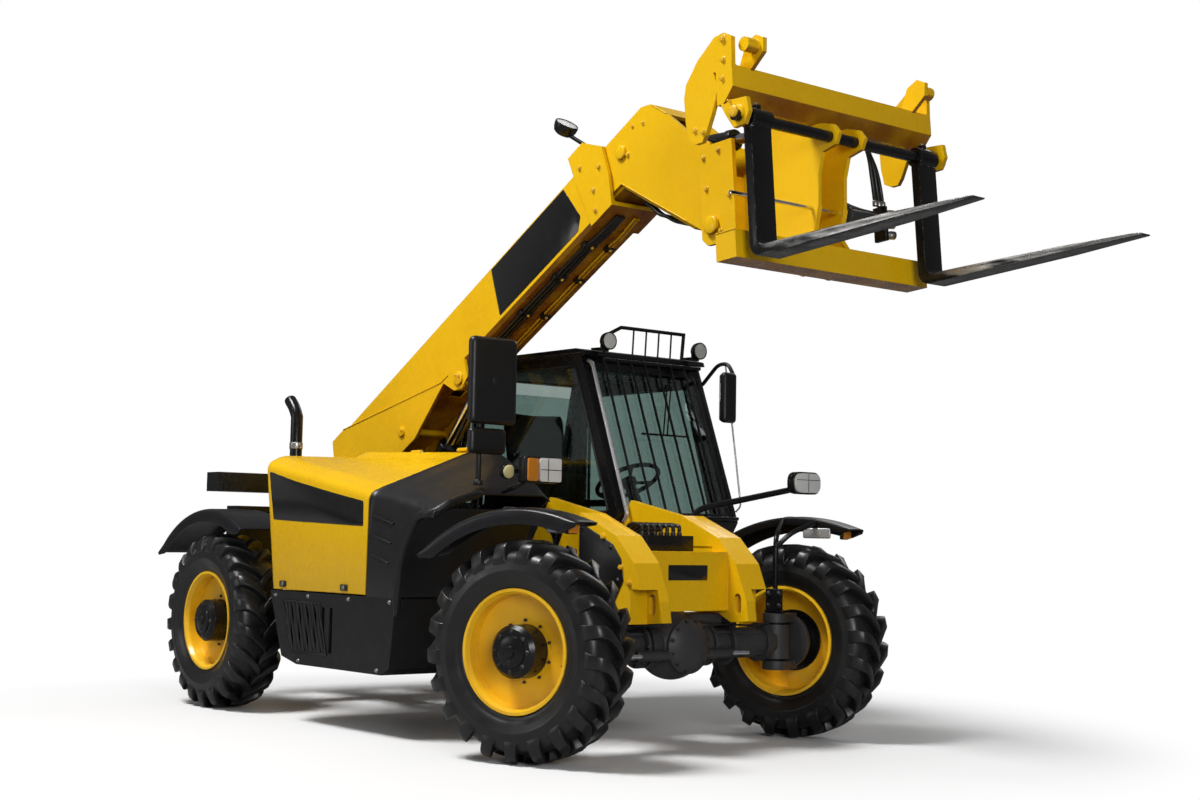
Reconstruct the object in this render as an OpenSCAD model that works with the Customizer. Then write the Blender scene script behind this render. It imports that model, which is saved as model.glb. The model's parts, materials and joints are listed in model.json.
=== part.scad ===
// Compact telehandler: side engine, central telescopic boom, floating forks.
// Millimetres. +X is forward, +Y is to the left, +Z is up, and the ground is Z = 0.

/* [Chassis and axles] */
// Distance between the axles
wheelbase = 2800; // [2500:10:3300]
// Distance between the middle planes of left and right wheels
track = 1800; // [1700:10:2000]
// Outer diameter of the tyres
tyre_d = 980; // [900:10:1080]
// Width of the tyres
tyre_w = 300; // [260:5:320]
// Outer diameter of the rim flanges
rim_d = 552; // [520:4:600]
// Width over the rim flanges
rim_w = 242; // [220:2:260]
// How far each kingpin lies inside its wheel's middle plane
kingpin_inset = 190; // [180:5:230]
// Steering angle of the right front wheel as parked, to the left
steer_right = 18; // [0:1:20]
// Steering angle of the left front wheel as parked, to the left
steer_left = 16; // [0:1:20]
// Distance between the outer faces of the chassis side plates
frame_w = 560; // [540:10:600]
// Thickness of the chassis side plates
frame_t = 30; // [20:1:40]

// Diameter of the drawbar pin hole at the rear
tow_pin_d = 32; // [20:1:40]

/* [Boom] */
// Height of the boom's foot pin above the ground
pivot_z = 1271; // [1200:1:1350]
// Distance of the foot pin behind the middle of the wheelbase
pivot_back = 1441; // [1350:1:1500]
// Angle of the boom above level, as parked
boom_angle = 29.5; // [20:0.5:30]
// Outer width of the outer boom
boom_w = 300; // [280:5:310]
// Outer height of the outer boom
boom_h = 330; // [310:5:350]
// Wall of the outer boom
boom_wall = 12; // [8:1:14]
// Height of the boom's centre line above its foot pin
boom_drop = 120; // [100:5:140]
// Distance from the foot pin to the mouth of the outer boom
boom_len = 2890; // [2700:10:3000]
// Gap all round between the outer boom and the inner boom
boom_gap = 8; // [6:1:12]
// Diameter of the boom's foot pin
foot_pin_d = 90; // [70:5:100]

/* [Cylinders] */
// Bore tube diameter of the lift cylinder
lift_d = 110; // [90:5:130]
// Rod diameter of the lift cylinder
lift_rod_d = 60; // [40:5:70]
// Bore tube diameter of the tilt cylinder
tilt_d = 90; // [70:5:100]
// Rod diameter of the tilt cylinder
tilt_rod_d = 50; // [35:5:55]
// Running clearance on every cylinder pin and rod
pin_gap = 1.5; // [1:0.5:2]

/* [Carriage and forks] */
// Backward tilt of the forks, as parked
fork_tilt = 4.9; // [0:0.1:8]
// Width of the carriage's upper beam
carriage_w = 1280; // [1150:10:1300]
// Length of the fork blades in front of the shanks
fork_len = 1090; // [1000:10:1200]
// Width of each fork
fork_w = 120; // [100:5:130]
// Thickness of the shanks, and of the blades at the heel
fork_t = 45; // [35:1:50]
// Distance of each fork's centre from the middle
fork_y = 534; // [380:1:545]
// Diameter of the shaft that the forks hang on
shaft_d = 50; // [40:1:55]
// How far the shaft stands out past the carriage at each end
shaft_stub = 28; // [10:1:40]

/* [Cab] */
// Distance from the machine's middle to the cab's inner wall
cab_in = 205; // [190:5:220]
// Distance from the machine's middle to the cab's outer wall
cab_out = 1060; // [980:5:1080]
// Height of the cab floor's underside
cab_floor_z = 640; // [600:10:700]
// Height of the roof's upper face
roof_z = 2010; // [1950:10:2100]
// Thickness of the cab's posts and rails
post = 55; // [40:1:65]
// Thickness of the glass
glass_t = 8; // [5:1:10]

/* [Engine pod] */
// Distance from the middle to the pod's outer face
pod_out = 1000; // [950:5:1010]
// Distance from the middle to the pod's inner face
pod_in = 310; // [300:5:340]
// Wall of the hood and covers
pod_wall = 8; // [5:1:12]

/* [Hidden] */
$fn = 48;
eps = 0.5;

yellow = "#f2b20a";
black = "#1c1d1f";
rubber = "#222224";
grey = "#5b5d60";
glass = "#5f7f76";
steel = "#b9bcbf";

// Side and steering of each corner: +1 is front or left.
FRONT = 1;
REAR = -1;
LEFT = 1;
RIGHT = -1;
wheel_r = tyre_d / 2;
axle_x = wheelbase / 2;
kingpin_y = track / 2 - kingpin_inset;

// The carriage's own frame has u forward and w up, from its pivot pin on the boom's head.
head_pin = [3423, -713];      // along and above the boom's centre line
tilt_base = [3041, 32];       // tilt cylinder's rear pin, along and above the centre line
tilt_eye = [285, 397];        // tilt cylinder's rod pin, in u and w
lift_eye = [1368, -222];      // lift cylinder's rod pin, along and above the centre line
lift_base = [-1150, 750];     // lift cylinder's lower pin on the chassis, in X and Z
shank_u = 663;                // rear face of the fork shanks
heel_w = -343;                // underside of the forks
shaft_uw = [shank_u + fork_t / 2, 255];

function turn(p, a) = [p[0] * cos(a) - p[1] * sin(a), p[0] * sin(a) + p[1] * cos(a)];
function on_boom_xz(p) = [-pivot_back, pivot_z] + turn([p[0], p[1] + boom_drop], boom_angle);
function angle_of(p) = atan2(p[1], p[0]);

head_xz = on_boom_xz(head_pin);
eye_xz = head_xz + turn(tilt_eye, fork_tilt);
tip_x = head_xz[0] + turn([shank_u + fork_t + fork_len, heel_w], fork_tilt)[0];
tail_x = -1990;
shift_x = -(tip_x + tail_x) / 2;

// ---- Frames and basic shapes ----

module placed() translate([shift_x, 0, 0]) children();

// An outline in X and Z, extruded from y0 to y1.
module side_plate(y0, y1) translate([0, y1, 0]) rotate([90, 0, 0]) linear_extrude(y1 - y0) children();

// An outline in Y and Z, extruded from x0 to x1.
module cross_plate(x0, x1) translate([x0, 0, 0]) rotate([90, 0, 90]) linear_extrude(x1 - x0) children();

module block(x0, x1, y0, y1, z0, z1) translate([x0, y0, z0]) cube([x1 - x0, y1 - y0, z1 - z0]);

// A round bar across the machine, centred on y.
module cross_bar(x, z, d, y0, y1) translate([x, y1, z]) rotate([90, 0, 0]) cylinder(d = d, h = y1 - y0);

// A round bar from point p to point q.
module bar(p, q, d) {
    v = q - p;
    length = norm(v);
    translate(p) rotate([0, acos(v[2] / length), atan2(v[1], v[0])]) cylinder(d = d, h = length);
}

function unit(v) = v / norm(v);

// Normal of the plane in which a tube along the points p is mitred at point i.
function mitre(p, i) = i == 0 ? unit(p[1] - p[0]) : i == len(p) - 1 ? unit(p[i] - p[i - 1])
    : unit(unit(p[i] - p[i - 1]) + unit(p[i + 1] - p[i]));

// Carries a ring of points along each straight run to the mitre plane at its end.
function rings(p, i, ring) = i == len(p) ? [] :
    let (run = i == 0 ? mitre(p, 0) : unit(p[i] - p[i - 1]), n = mitre(p, i),
        moved = [for (q = ring) q + run * ((p[i] - q) * n) / (run * n)])
    concat([moved], rings(p, i + 1, moved));

// A bent round tube through the listed points, with mitred corners.
module tube(points, d, sides = 20) {
    run = mitre(points, 0);
    across = unit(cross(run, abs(run[2]) > 0.9 ? [0, 1, 0] : [0, 0, 1]));
    up = cross(run, across);
    start = [for (i = [0 : sides - 1]) points[0] + d / 2 * (across * cos(360 * i / sides) + up * sin(360 * i / sides))];
    all = rings(points, 0, start);
    last = len(points) - 1;
    polyhedron(points = [for (ring = all) each ring],
        faces = concat([[for (i = [0 : sides - 1]) i], [for (i = [sides - 1 : -1 : 0]) last * sides + i]],
            [for (k = [0 : last - 1]) for (i = [0 : sides - 1]) let (j = (i + 1) % sides)
                [k * sides + j, k * sides + i, (k + 1) * sides + i, (k + 1) * sides + j]]));
}

module both_sides() {
    children();
    mirror([0, 1, 0]) children();
}

// The boom's frame: X along the boom, Z above its centre line.
module on_boom() placed() translate([-pivot_back, 0, pivot_z]) rotate([0, -boom_angle, 0])
    translate([0, 0, boom_drop]) children();

// The carriage's frame, at its pivot pin.
module on_carriage() placed() translate([head_xz[0], 0, head_xz[1]]) rotate([0, -fork_tilt, 0]) children();

// A knuckle's frame, at its kingpin and at wheel height.
module on_knuckle(end, side, steer = 0)
    placed() translate([end * axle_x, side * kingpin_y, wheel_r]) rotate([0, 0, steer])
        mirror([0, side == RIGHT ? 1 : 0, 0]) children();

// A wheel's frame: Z points outboard from the wheel's middle.
module on_wheel(end, side, steer = 0)
    on_knuckle(end, side, steer) translate([0, kingpin_inset, 0]) rotate([-90, 0, 0]) children();

// ---- Chassis ----

module rail_outline() polygon([[-1840, 640], [-1840, 1160], [-1600, 1370], [-1280, 1370], [-1000, 960],
    [640, 940], [800, 1190], [1200, 1110], [1460, 1005], [1500, 640], [1150, 640], [850, 520], [-950, 520],
    [-1100, 640]]);

cheek_out = 400;
cheek_in = 245;

module cheek_outline() polygon([[1190, 1112], [1460, 1005], [1590, 880], [1665, 705], [1680, 610],
    [1560, 600], [1430, 660], [1190, 680]]);

module cheek() {
    difference() {
        side_plate(cheek_in, cheek_out) cheek_outline();
        block(1150, 1420, cheek_in - eps, cheek_out - frame_t, 600, 960);
        block(1570, 1700, cheek_in + 55, cheek_out + 1, 590, 760);
        for (z = [665, 715]) cross_bar(1605, z, 46, cheek_in - 1, cheek_out + 1);
        block(1582, 1628, cheek_in - 1, cheek_out + 1, 665, 715);
    }
}

// Cross plates between the side plates: rear face, bottom and top.
CROSS_PLATES = [[-1835, 700, 1000], [-1240, 645, 740], [-860, 545, 690], [-250, 545, 900], [560, 545, 900]];

module chassis_frame() placed() color(yellow) {
    both_sides() {
        difference() {
            side_plate(frame_w / 2 - frame_t, frame_w / 2) rail_outline();
            cross_bar(-pivot_back, pivot_z, foot_pin_d, 0, frame_w);
        }
        difference() {
            cross_bar(-pivot_back, pivot_z, 190, boom_w / 2 + 12, frame_w / 2 - frame_t + eps);
            cross_bar(-pivot_back, pivot_z, foot_pin_d, 0, frame_w);
        }
        cheek();
    }
}

// The boom's foot pin and what joins the side plates; each piece ends on their inner faces.
module cross_members() placed() color(yellow) {
    cross_bar(-pivot_back, pivot_z, foot_pin_d, -frame_w / 2 - 12, frame_w / 2 + 12);
    inner = frame_w / 2 - frame_t;
    for (plate = CROSS_PLATES) block(plate[0], plate[0] + 20, -inner, inner, plate[1], plate[2]);
    block(-860, 980, -inner, inner, 525, 545);
    block(1500, 1535, -cheek_in, cheek_in, 655, 930);
    block(1400, 1530, -cheek_in, cheek_in, 910, 935);
    lift_feet();
    tow_plate();
}

tow_pin_x = -1925;
tow_plate_z = [720, 760];
tow_plate_w = 150;
tow_rib_t = 20;

// Towing plate behind the rear cross plate, with its upright pin hole, on two ribs.
module tow_plate() difference() {
    union() {
        block(tow_pin_x, -1816, -tow_plate_w / 2, tow_plate_w / 2, tow_plate_z[0], tow_plate_z[1]);
        translate([tow_pin_x, 0, tow_plate_z[0]]) cylinder(d = 120, h = tow_plate_z[1] - tow_plate_z[0]);
        for (y = [-tow_plate_w / 2, tow_plate_w / 2 - tow_rib_t])
            block(-1880, -1834, y, y + tow_rib_t, tow_plate_z[1] - 1, 830);
    }
    translate([tow_pin_x, 0, tow_plate_z[0] - 10])
        cylinder(d = tow_pin_d, h = tow_plate_z[1] - tow_plate_z[0] + 20);
}

module lift_feet() {
    both_sides() {
        side_plate(lift_d / 2 + 14, lift_d / 2 + 34) polygon([[-1220, 760], [-1150, 830], [-1080, 760],
            [-1060, 650], [-1220, 650]]);
    }
    cross_bar(lift_base[0], lift_base[1], 60, -frame_w / 2 + frame_t, frame_w / 2 - frame_t);
}

module axle() {
    tube_end = kingpin_y - 100;
    both_sides() {
        bar([0, 150, wheel_r], [0, tube_end, wheel_r], 150);
        bar([0, tube_end - 40, wheel_r], [0, tube_end, wheel_r], 190);
        difference() {
            translate([0, kingpin_y, wheel_r - 85]) cylinder(d = 140, h = 170);
            translate([0, kingpin_y, wheel_r - 90]) cylinder(d = 54, h = 180);
        }
        bar([0, tube_end - eps, wheel_r], [0, kingpin_y - 45, wheel_r], 130);
    }
    translate([0, 0, wheel_r]) sphere(d = 330);
    bar([0, -190, wheel_r], [0, 190, wheel_r], 210);
}

module front_axle() placed() color(grey) translate([axle_x, 0, 0]) {
    axle();
    bar([-120, 0, wheel_r], [-330, 0, wheel_r + 40], 170);
    block(-90, 60, -frame_w / 2, frame_w / 2, wheel_r + 90, 640);
}

module rear_axle() placed() color(grey) translate([-axle_x, 0, 0]) {
    axle();
    bar([120, 0, wheel_r], [300, 0, wheel_r + 20], 170);
    block(-90, 90, -frame_w / 2, frame_w / 2, wheel_r + 90, 640);
}

module rear_crossbar() placed() color(black) {
    block(tail_x, -1840, -750, 750, 1235, 1350);
    both_sides() block(-1900, -1840, 60, frame_w / 2, 1000, 1235 + eps);
    both_sides() block(tail_x + 20, -1840, frame_w / 2 - frame_t, 620, 780, 1150);
}

module engine_block() placed() color(grey) block(-640, 180, -900, -frame_w / 2, 700, 1170);

// ---- Engine pod ----

// Height of the pod's shoulder line and of its inner ridge at x.
function shoulder_z(x) = 1370 - 0.16 * (x + 840);
function ridge_z(x) = 1465 - 0.03 * (x + 840);

pod_z = 685;

module pod_section(x, wall) polygon([[-pod_out + wall, pod_z], [-pod_out + wall, shoulder_z(x) - wall],
    [-pod_out + 90, shoulder_z(x) + 45 - wall], [-pod_in - 40, ridge_z(x) - wall],
    [-pod_in - wall, ridge_z(x) - 30 - wall], [-pod_in - wall, pod_z]]);

module pod_loft(x0, x1, wall) hull() {
    cross_plate(x0, x0 + 1) pod_section(x0, wall);
    cross_plate(x1 - 1, x1) pod_section(x1, wall);
}

module hood_body(wall) intersection() {
    pod_loft(-860, 300, wall);
    side_plate(-pod_out - 10, 0) polygon([[-840 + wall, 1500], [-702 + wall, pod_z + 8 - 2 * wall],
        [255 - wall, pod_z + 8 - 2 * wall], [265 - wall, 1240], [340 - wall, 1500]]);
}

hood_hinge_yz = [-pod_in - 50, 1440];
hood_hinge_d = 26;
hood_hinge_len = 90;

// The hood's shell with the two hinge knuckles along its inner edge.
module engine_hood() placed() color(yellow) {
    difference() {
        hood_body(0);
        hood_body(pod_wall);
        block(-900, 400, -pod_in - 60, 0, 600, 1405);
    }
    for (x = [-330, 110])
        bar([x, each hood_hinge_yz], [x + hood_hinge_len, each hood_hinge_yz], hood_hinge_d);
}

module pod_front_cover() placed() color(black) difference() {
    intersection() {
        pod_loft(200, 1100, 0);
        side_plate(-pod_out, -pod_in) polygon([[262, pod_z], [272, 1240], [346, 1500], [420, 1440],
            [650, 1330], [850, 1190], [750, 1120], [640, 990], [570, 840], [550, pod_z]]);
    }
    side_plate(-pod_out + pod_wall, -pod_in - pod_wall) polygon([[240, 680], [240, 1380], [420, 1380],
        [620, 1300], [760, 1190], [640, 1060], [560, 860], [535, 680]]);
    for (i = [0 : 2]) translate([300, -pod_out - 1, 1090 - 100 * i]) rotate([0, 14, 0]) cube([190, 5, 14]);
}

module side_skirt() placed() color(grey) difference() {
    side_plate(-pod_out, -frame_w / 2) polygon([[-700, 685], [-560, 345], [-400, 310], [420, 310],
        [490, 345], [535, 685]]);
    for (i = [0 : 5]) block(-470 + 78 * i, -440 + 78 * i, -pod_out - 1, -pod_out + 30, 385, 615);
}

stack_xy = [-918, -750];
stack_d = 68;

module exhaust_stack() placed() color(black) {
    tube([[stack_xy[0], stack_xy[1], 1060], [stack_xy[0], stack_xy[1], 1650],
        [stack_xy[0] - 25, stack_xy[1], 1720], [stack_xy[0] - 70, stack_xy[1], 1760]], stack_d);
    bar([stack_xy[0], stack_xy[1], 1085], [stack_xy[0], -frame_w / 2 - 30, 1085], 50);
    block(stack_xy[0] - 30, stack_xy[0] + 30, -frame_w / 2 - 50, -frame_w / 2, 900, 1115);
}

module rear_mudguards() placed() color(black) both_sides() translate([-axle_x, 0, 0]) {
    mudguard_shell(track / 2 - tyre_w / 2 - 10, track / 2 + tyre_w / 2 + 5, 60, 136);
    block(-60, 60, frame_w / 2 + eps, track / 2 - tyre_w / 2, 1085, 1110);
}

// ---- Mudguards ----

guard_r = 835;
guard_drop = 203;

// Points on an arc about the mudguard's own centre below the axle.
function arc(r, a0, a1, steps = 14) = [for (i = [0 : steps]) let (a = a0 + (a1 - a0) * i / steps)
    [17 + r * cos(a), wheel_r - guard_drop + r * sin(a)]];

module guard_outline(r0, r1, a0, a1) polygon(concat(arc(r0, a0, a1), arc(r1, a1, a0)));

module mudguard_shell(y0, y1, a0, a1) {
    side_plate(y0, y1) guard_outline(guard_r - 8, guard_r, a0, a1);
    for (y = [y0, y1 - 8]) side_plate(y, y + 8) guard_outline(guard_r - 32, guard_r - eps, a0, a1);
}

module front_mudguard() {
    y0 = kingpin_inset - tyre_w / 2 + 120;
    y1 = kingpin_inset + tyre_w / 2 - 10;
    top = guard_r - guard_drop;
    translate([0, 0, -wheel_r]) mudguard_shell(y0, y1, 68, 132);
    tube([[0, -5, 150], [0, -5, 530], [-60, y0 + 15, top - 6]], 26);
    tube([[0, -5, 530], [150, y0 + 15, top - 18]], 26);
    block(-45, 45, -20, 10, 140, 260);
}

module front_mudguard_right() color(black) on_knuckle(FRONT, RIGHT, steer_right) front_mudguard();
module front_mudguard_left() color(black) on_knuckle(FRONT, LEFT, steer_left) front_mudguard();

// ---- Knuckles and wheels ----

module knuckle() {
    for (z = [95, -140]) translate([0, 0, z]) {
        cylinder(d = 130, h = 45);
        block(-65, 65, 0, 108, 0, 45);
    }
    translate([0, 0, -84]) cylinder(d = 50, h = 168);
    for (z = [84 - eps, -96]) translate([0, 0, z]) cylinder(d = 50, h = 12 + eps);
    bar([0, 82, 0], [0, 108, 0], 280);
    bar([0, 107, 0], [0, 180, 0], 210);
    bar([0, 179, 0], [0, kingpin_inset + 90, 0], 80);
}

module knuckle_front_right() color(grey) on_knuckle(FRONT, RIGHT, steer_right) knuckle();
module knuckle_front_left() color(grey) on_knuckle(FRONT, LEFT, steer_left) knuckle();
module knuckle_rear_right() color(grey) on_knuckle(REAR, RIGHT) knuckle();
module knuckle_rear_left() color(grey) on_knuckle(REAR, LEFT) knuckle();

bead_r = rim_d / 2 - 14;

// Half of the tyre's section, as radius and distance from the middle plane.
function tyre_side(s) = [[bead_r, s * (rim_w / 2 - 16.5)], [rim_d / 2, s * (rim_w / 2 - 10)], [bead_r + 75, s * (tyre_w / 2 - 6)],
    [bead_r + 115, s * tyre_w / 2], [wheel_r - 65, s * (tyre_w / 2 - 2)], [wheel_r - 30, s * (tyre_w / 2 - 14)],
    [wheel_r - 8, s * (tyre_w / 2 - 42)], [wheel_r, s * (tyre_w / 2 - 80)]];
function reversed(list) = [for (i = [len(list) - 1 : -1 : 0]) list[i]];

module tyre() rotate_extrude($fn = 96) polygon(concat(tyre_side(1), reversed(tyre_side(-1))));

module rim() {
    half = rim_w / 2;
    lip = rim_d / 2;
    rotate_extrude($fn = 96) polygon([[lip, half], [lip, half - 10], [bead_r, half - 16.5],
        [bead_r, -half + 16.5], [lip, -half + 10], [lip, -half], [lip - 14, -half], [lip - 26, -half + 20],
        [lip - 26, 20], [118, 8], [118, 26], [lip - 26, 40], [lip - 26, half - 20], [lip - 14, half]]);
}

hub_r = 117;

module hub() rotate_extrude($fn = 64) polygon([[43, -2], [155, -2], [155, 7], [hub_r, 7], [hub_r, 120],
    [hub_r - 18, 138], [0, 138], [0, 100], [43, 100]]);

module tyre_front_right() color(rubber) on_wheel(FRONT, RIGHT, steer_right) tyre();
module tyre_front_left() color(rubber) on_wheel(FRONT, LEFT, steer_left) tyre();
module tyre_rear_right() color(rubber) on_wheel(REAR, RIGHT) tyre();
module tyre_rear_left() color(rubber) on_wheel(REAR, LEFT) tyre();
module rim_front_right() color(yellow) on_wheel(FRONT, RIGHT, steer_right) rim();
module rim_front_left() color(yellow) on_wheel(FRONT, LEFT, steer_left) rim();
module rim_rear_right() color(yellow) on_wheel(REAR, RIGHT) rim();
module rim_rear_left() color(yellow) on_wheel(REAR, LEFT) rim();
module hub_front_right() color(black) on_wheel(FRONT, RIGHT, steer_right) hub();
module hub_front_left() color(black) on_wheel(FRONT, LEFT, steer_left) hub();
module hub_rear_right() color(black) on_wheel(REAR, RIGHT) hub();
module hub_rear_left() color(black) on_wheel(REAR, LEFT) hub();

// ---- Cab ----

// The cab's side outline in X and Z, from the rear foot round to the front foot.
module cab_outline(inset = 0) polygon([[-760 + inset, cab_floor_z + inset], [-760 + inset, 1500],
    [-640 + inset, roof_z - 40 - inset], [420 - inset * 0.7, roof_z - 40 - inset],
    [760 - inset * 1.2, 1090], [640 - inset, 900], [560 - inset, cab_floor_z + inset]]);

// The two windows of the inner wall, drawn smaller all round by the given gap.
module side_openings(gap = 0) {
    high = roof_z - 40 - post - gap;
    polygon([[-760 + post + gap, 1130 + gap], [-760 + post + gap, 1490], [-640 + post + gap, high],
        [-560 - gap, high], [-560 - gap, 1130 + gap]]);
    polygon([[-500 + gap, 1130 + gap], [-500 + gap, high], [375 - gap, high], [675 - 2 * gap, 1130 + gap]]);
}

module door_gap() polygon([[-600, 700], [-600, roof_z - 90], [385, roof_z - 90], [670, 1090], [560, 900],
    [520, 700]]);

// What lies beside and below the chassis side plate's top edge, raised by the given gap.
module rail_zone(gap) polygon([[-1300, 300], [-1300, 960 + gap], [640 - gap / 2, 940 + gap],
    [800 - gap, 1190 + gap], [1300, 1190 + gap], [1300, 300]]);

module cab_frame() placed() color(black) {
    difference() {
        side_plate(cab_in, cab_out) cab_outline();
        side_plate(cab_in - 1, frame_w / 2 + 3) rail_zone(3);
        difference() {
            side_plate(cab_in + 40, cab_out - 45) cab_outline(post);
            side_plate(cab_in, frame_w / 2 + 43) rail_zone(43);
        }
        side_plate(cab_in - 1, cab_in + 41) side_openings();
        side_plate(cab_out - 46, cab_out + 1) door_gap();
        block(300, 900, cab_in + post, cab_out - post, 1120, roof_z - 100);
        block(-900, -500, cab_in + post, cab_out - post, 1180, roof_z - 100);
    }
    side_plate(cab_in - 5, cab_out + 15) polygon([[-670, roof_z - 40], [-650, roof_z - 5], [-600, roof_z],
        [380, roof_z], [450, roof_z - 15], [460, roof_z - 40]]);
    for (z = [430, 560]) block(-60, 320, cab_out - 150, cab_out - 8, z, z + 20);
    for (x = [-80, 320]) block(x, x + 20, cab_out - 150, cab_out - 8, 410, cab_floor_z + eps);
}

module cab_glass() placed() color(glass) {
    seat = 0.3;
    side_plate(cab_in + post + seat, cab_out - post - seat) polygon([[742, 1120 + seat],
        [742 + glass_t, 1120 + seat], [438 + glass_t, roof_z - 100 - seat], [438, roof_z - 100 - seat]]);
    side_plate(cab_in + 10, cab_in + 10 + glass_t) side_openings(seat);
    side_plate(cab_in + post + seat, cab_out - post - seat) polygon([[-752, 1180 + seat],
        [-752 + glass_t, 1180 + seat], [-752 + glass_t, 1500], [-672, 1843], [-680, 1843], [-752, 1500]]);
}

// Height of the roof's upper face at its front slope.
function roof_front(x) = roof_z - 15 * (x - 380) / 70;

module cab_guards() placed() color(black) {
    for (i = [0 : 7]) {
        y = cab_in + 90 + (cab_out - cab_in - 180) * i / 7;
        bar([820, y, 1110], [500, y, roof_z - 60], 14);
    }
    for (p = [[820, 1110], [500, roof_z - 60]]) bar([p[0], cab_in + 88, p[1]], [p[0], cab_out - 60, p[1]], 20);
    for (y = [cab_in + 100, cab_out - 75]) {
        bar([756, y, 1110], [822, y, 1110], 18);
        bar([431.5, y, roof_z - 60], [500, y, roof_z - 60], 18);
    }
    rack_top = roof_z + 130;
    rack_y = [460, 920];
    foot = roof_front(420) + 0.2;
    tube([[430, rack_y[0] - 100, foot], [430, rack_y[0] - 90, roof_z + 80], [450, rack_y[0], rack_top],
        [450, rack_y[1], rack_top], [430, rack_y[1] + 4, foot]], 20);
    for (i = [1 : 4]) bar([440, rack_y[0] + 92 * i, roof_front(435) + 0.2], [449, rack_y[0] + 92 * i, rack_top - 3], 10);
}

module door_outline(inset) polygon([[-595 + inset, 705 + inset], [-595 + inset, roof_z - 95 - inset],
    [380 - inset * 0.7, roof_z - 95 - inset], [663 - inset * 1.15, 1092], [553 - inset, 903],
    [514 - inset, 705 + inset]]);

module door_window(inset) polygon([[-530 + inset, 1130 + inset], [-530 + inset, roof_z - 160 - inset],
    [335 - inset, roof_z - 160 - inset], [570 - inset, 1130 + inset]]);

module cab_door() placed() color(black) {
    difference() {
        side_plate(cab_out - 40, cab_out) door_outline(0);
        side_plate(cab_out - 41, cab_out + 1) door_window(0);
        side_plate(cab_out - 41, cab_out + 1) polygon([[-530, 790], [-530, 1060], [560, 1060], [500, 930],
            [470, 790]]);
    }
    for (z = [900, 1650]) translate([-600, cab_out + 14, z]) cylinder(d = 26, h = 120);
    for (z = [900, 1650]) block(-600, -560, cab_out - eps, cab_out + 14, z + 10, z + 110);
}

module door_glass() placed() color(glass) {
    side_plate(cab_out - 25, cab_out - 25 + glass_t) door_window(0.5);
    side_plate(cab_out - 25, cab_out - 25 + glass_t) polygon([[-529, 791], [-529, 1059], [559, 1059],
        [499.5, 930], [469.5, 791]]);
}

module driver_seat() placed() color(black) translate([-260, (cab_in + cab_out) / 2, 0]) {
    block(-200, 200, -180, 180, cab_floor_z + post, 1030);
    block(-250, 230, -240, 240, 1030 - eps, 1150);
    translate([-250, -230, 1140]) rotate([0, -10, 0]) cube([110, 460, 600]);
}

module steering_console() placed() color(black) {
    mid = (cab_in + cab_out) / 2;
    side_plate(mid - 170, mid + 170) polygon([[390, cab_floor_z + post], [492, cab_floor_z + post], [565, 880],
        [600, 1080], [430, 1080]]);
    bar([470, mid, 1060], [330, mid, 1300], 70);
    translate([325, mid, 1308]) rotate([0, -30, 0]) {
        rotate_extrude($fn = 64) translate([175, 0]) circle(d = 26, $fn = 24);
        for (a = [90, 210, 330]) rotate([0, 0, a]) bar([20, 0, 0], [170, 0, 0], 20);
        translate([0, 0, -26]) cylinder(d = 92, h = 40);
    }
}

// ---- Mirrors and lamps ----

module mirrors() placed() color(black) {
    block(770, 830, -790, -510, 1530, 1960);
    block(780, 830, -790, -570, 1385, 1515);
    bar([800, -720, 1235], [800, -720, 1540], 28);
    tube([[430, cab_out + 0.2, roof_z - 140], [430, cab_out + 26, roof_z - 140], [560, cab_out + 26, roof_z - 30],
        [680, cab_out + 26, roof_z - 92]], 22);
    block(655, 705, cab_out - 60, cab_out + 45, 1640, 1925);
}

module lamps() placed() color(black) {
    block(1010, 1110, -650, -440, 1245, 1375);
    bar([840, -600, 1206], [1060, -560, 1290], 24);
    block(960, 1020, -730, -649, 1260, 1345);
    block(1290, 1370, 880, 1080, 1236, 1356);
    tube([[1150, frame_w / 2 + 0.2, 1080], [1150, 330, 1080], [1150, 400, 1150], [1330, 960, 1270]], 34);
    for (y = [300, 960]) translate([500, y, roof_z + 35]) rotate([0, 90, 0]) cylinder(d = 96, h = 50);
    for (y = [300, 960]) block(400, 515, y - 12, y + 12, roof_front(400) + 0.2, roof_z + 6);
}

// ---- Boom ----

module tube_section(w, h, c) polygon([[-w / 2 + c, -h / 2], [w / 2 - c, -h / 2], [w / 2, -h / 2 + c],
    [w / 2, h / 2 - c], [w / 2 - c, h / 2], [-w / 2 + c, h / 2], [-w / 2, h / 2 - c], [-w / 2, -h / 2 + c]]);

module box_tube(x0, x1, w, h, c, wall) difference() {
    cross_plate(x0, x1) tube_section(w, h, c);
    cross_plate(x0 - 1, x1 + 1) tube_section(w - 2 * wall, h - 2 * wall, max(c - wall / 2, 2));
}

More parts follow.
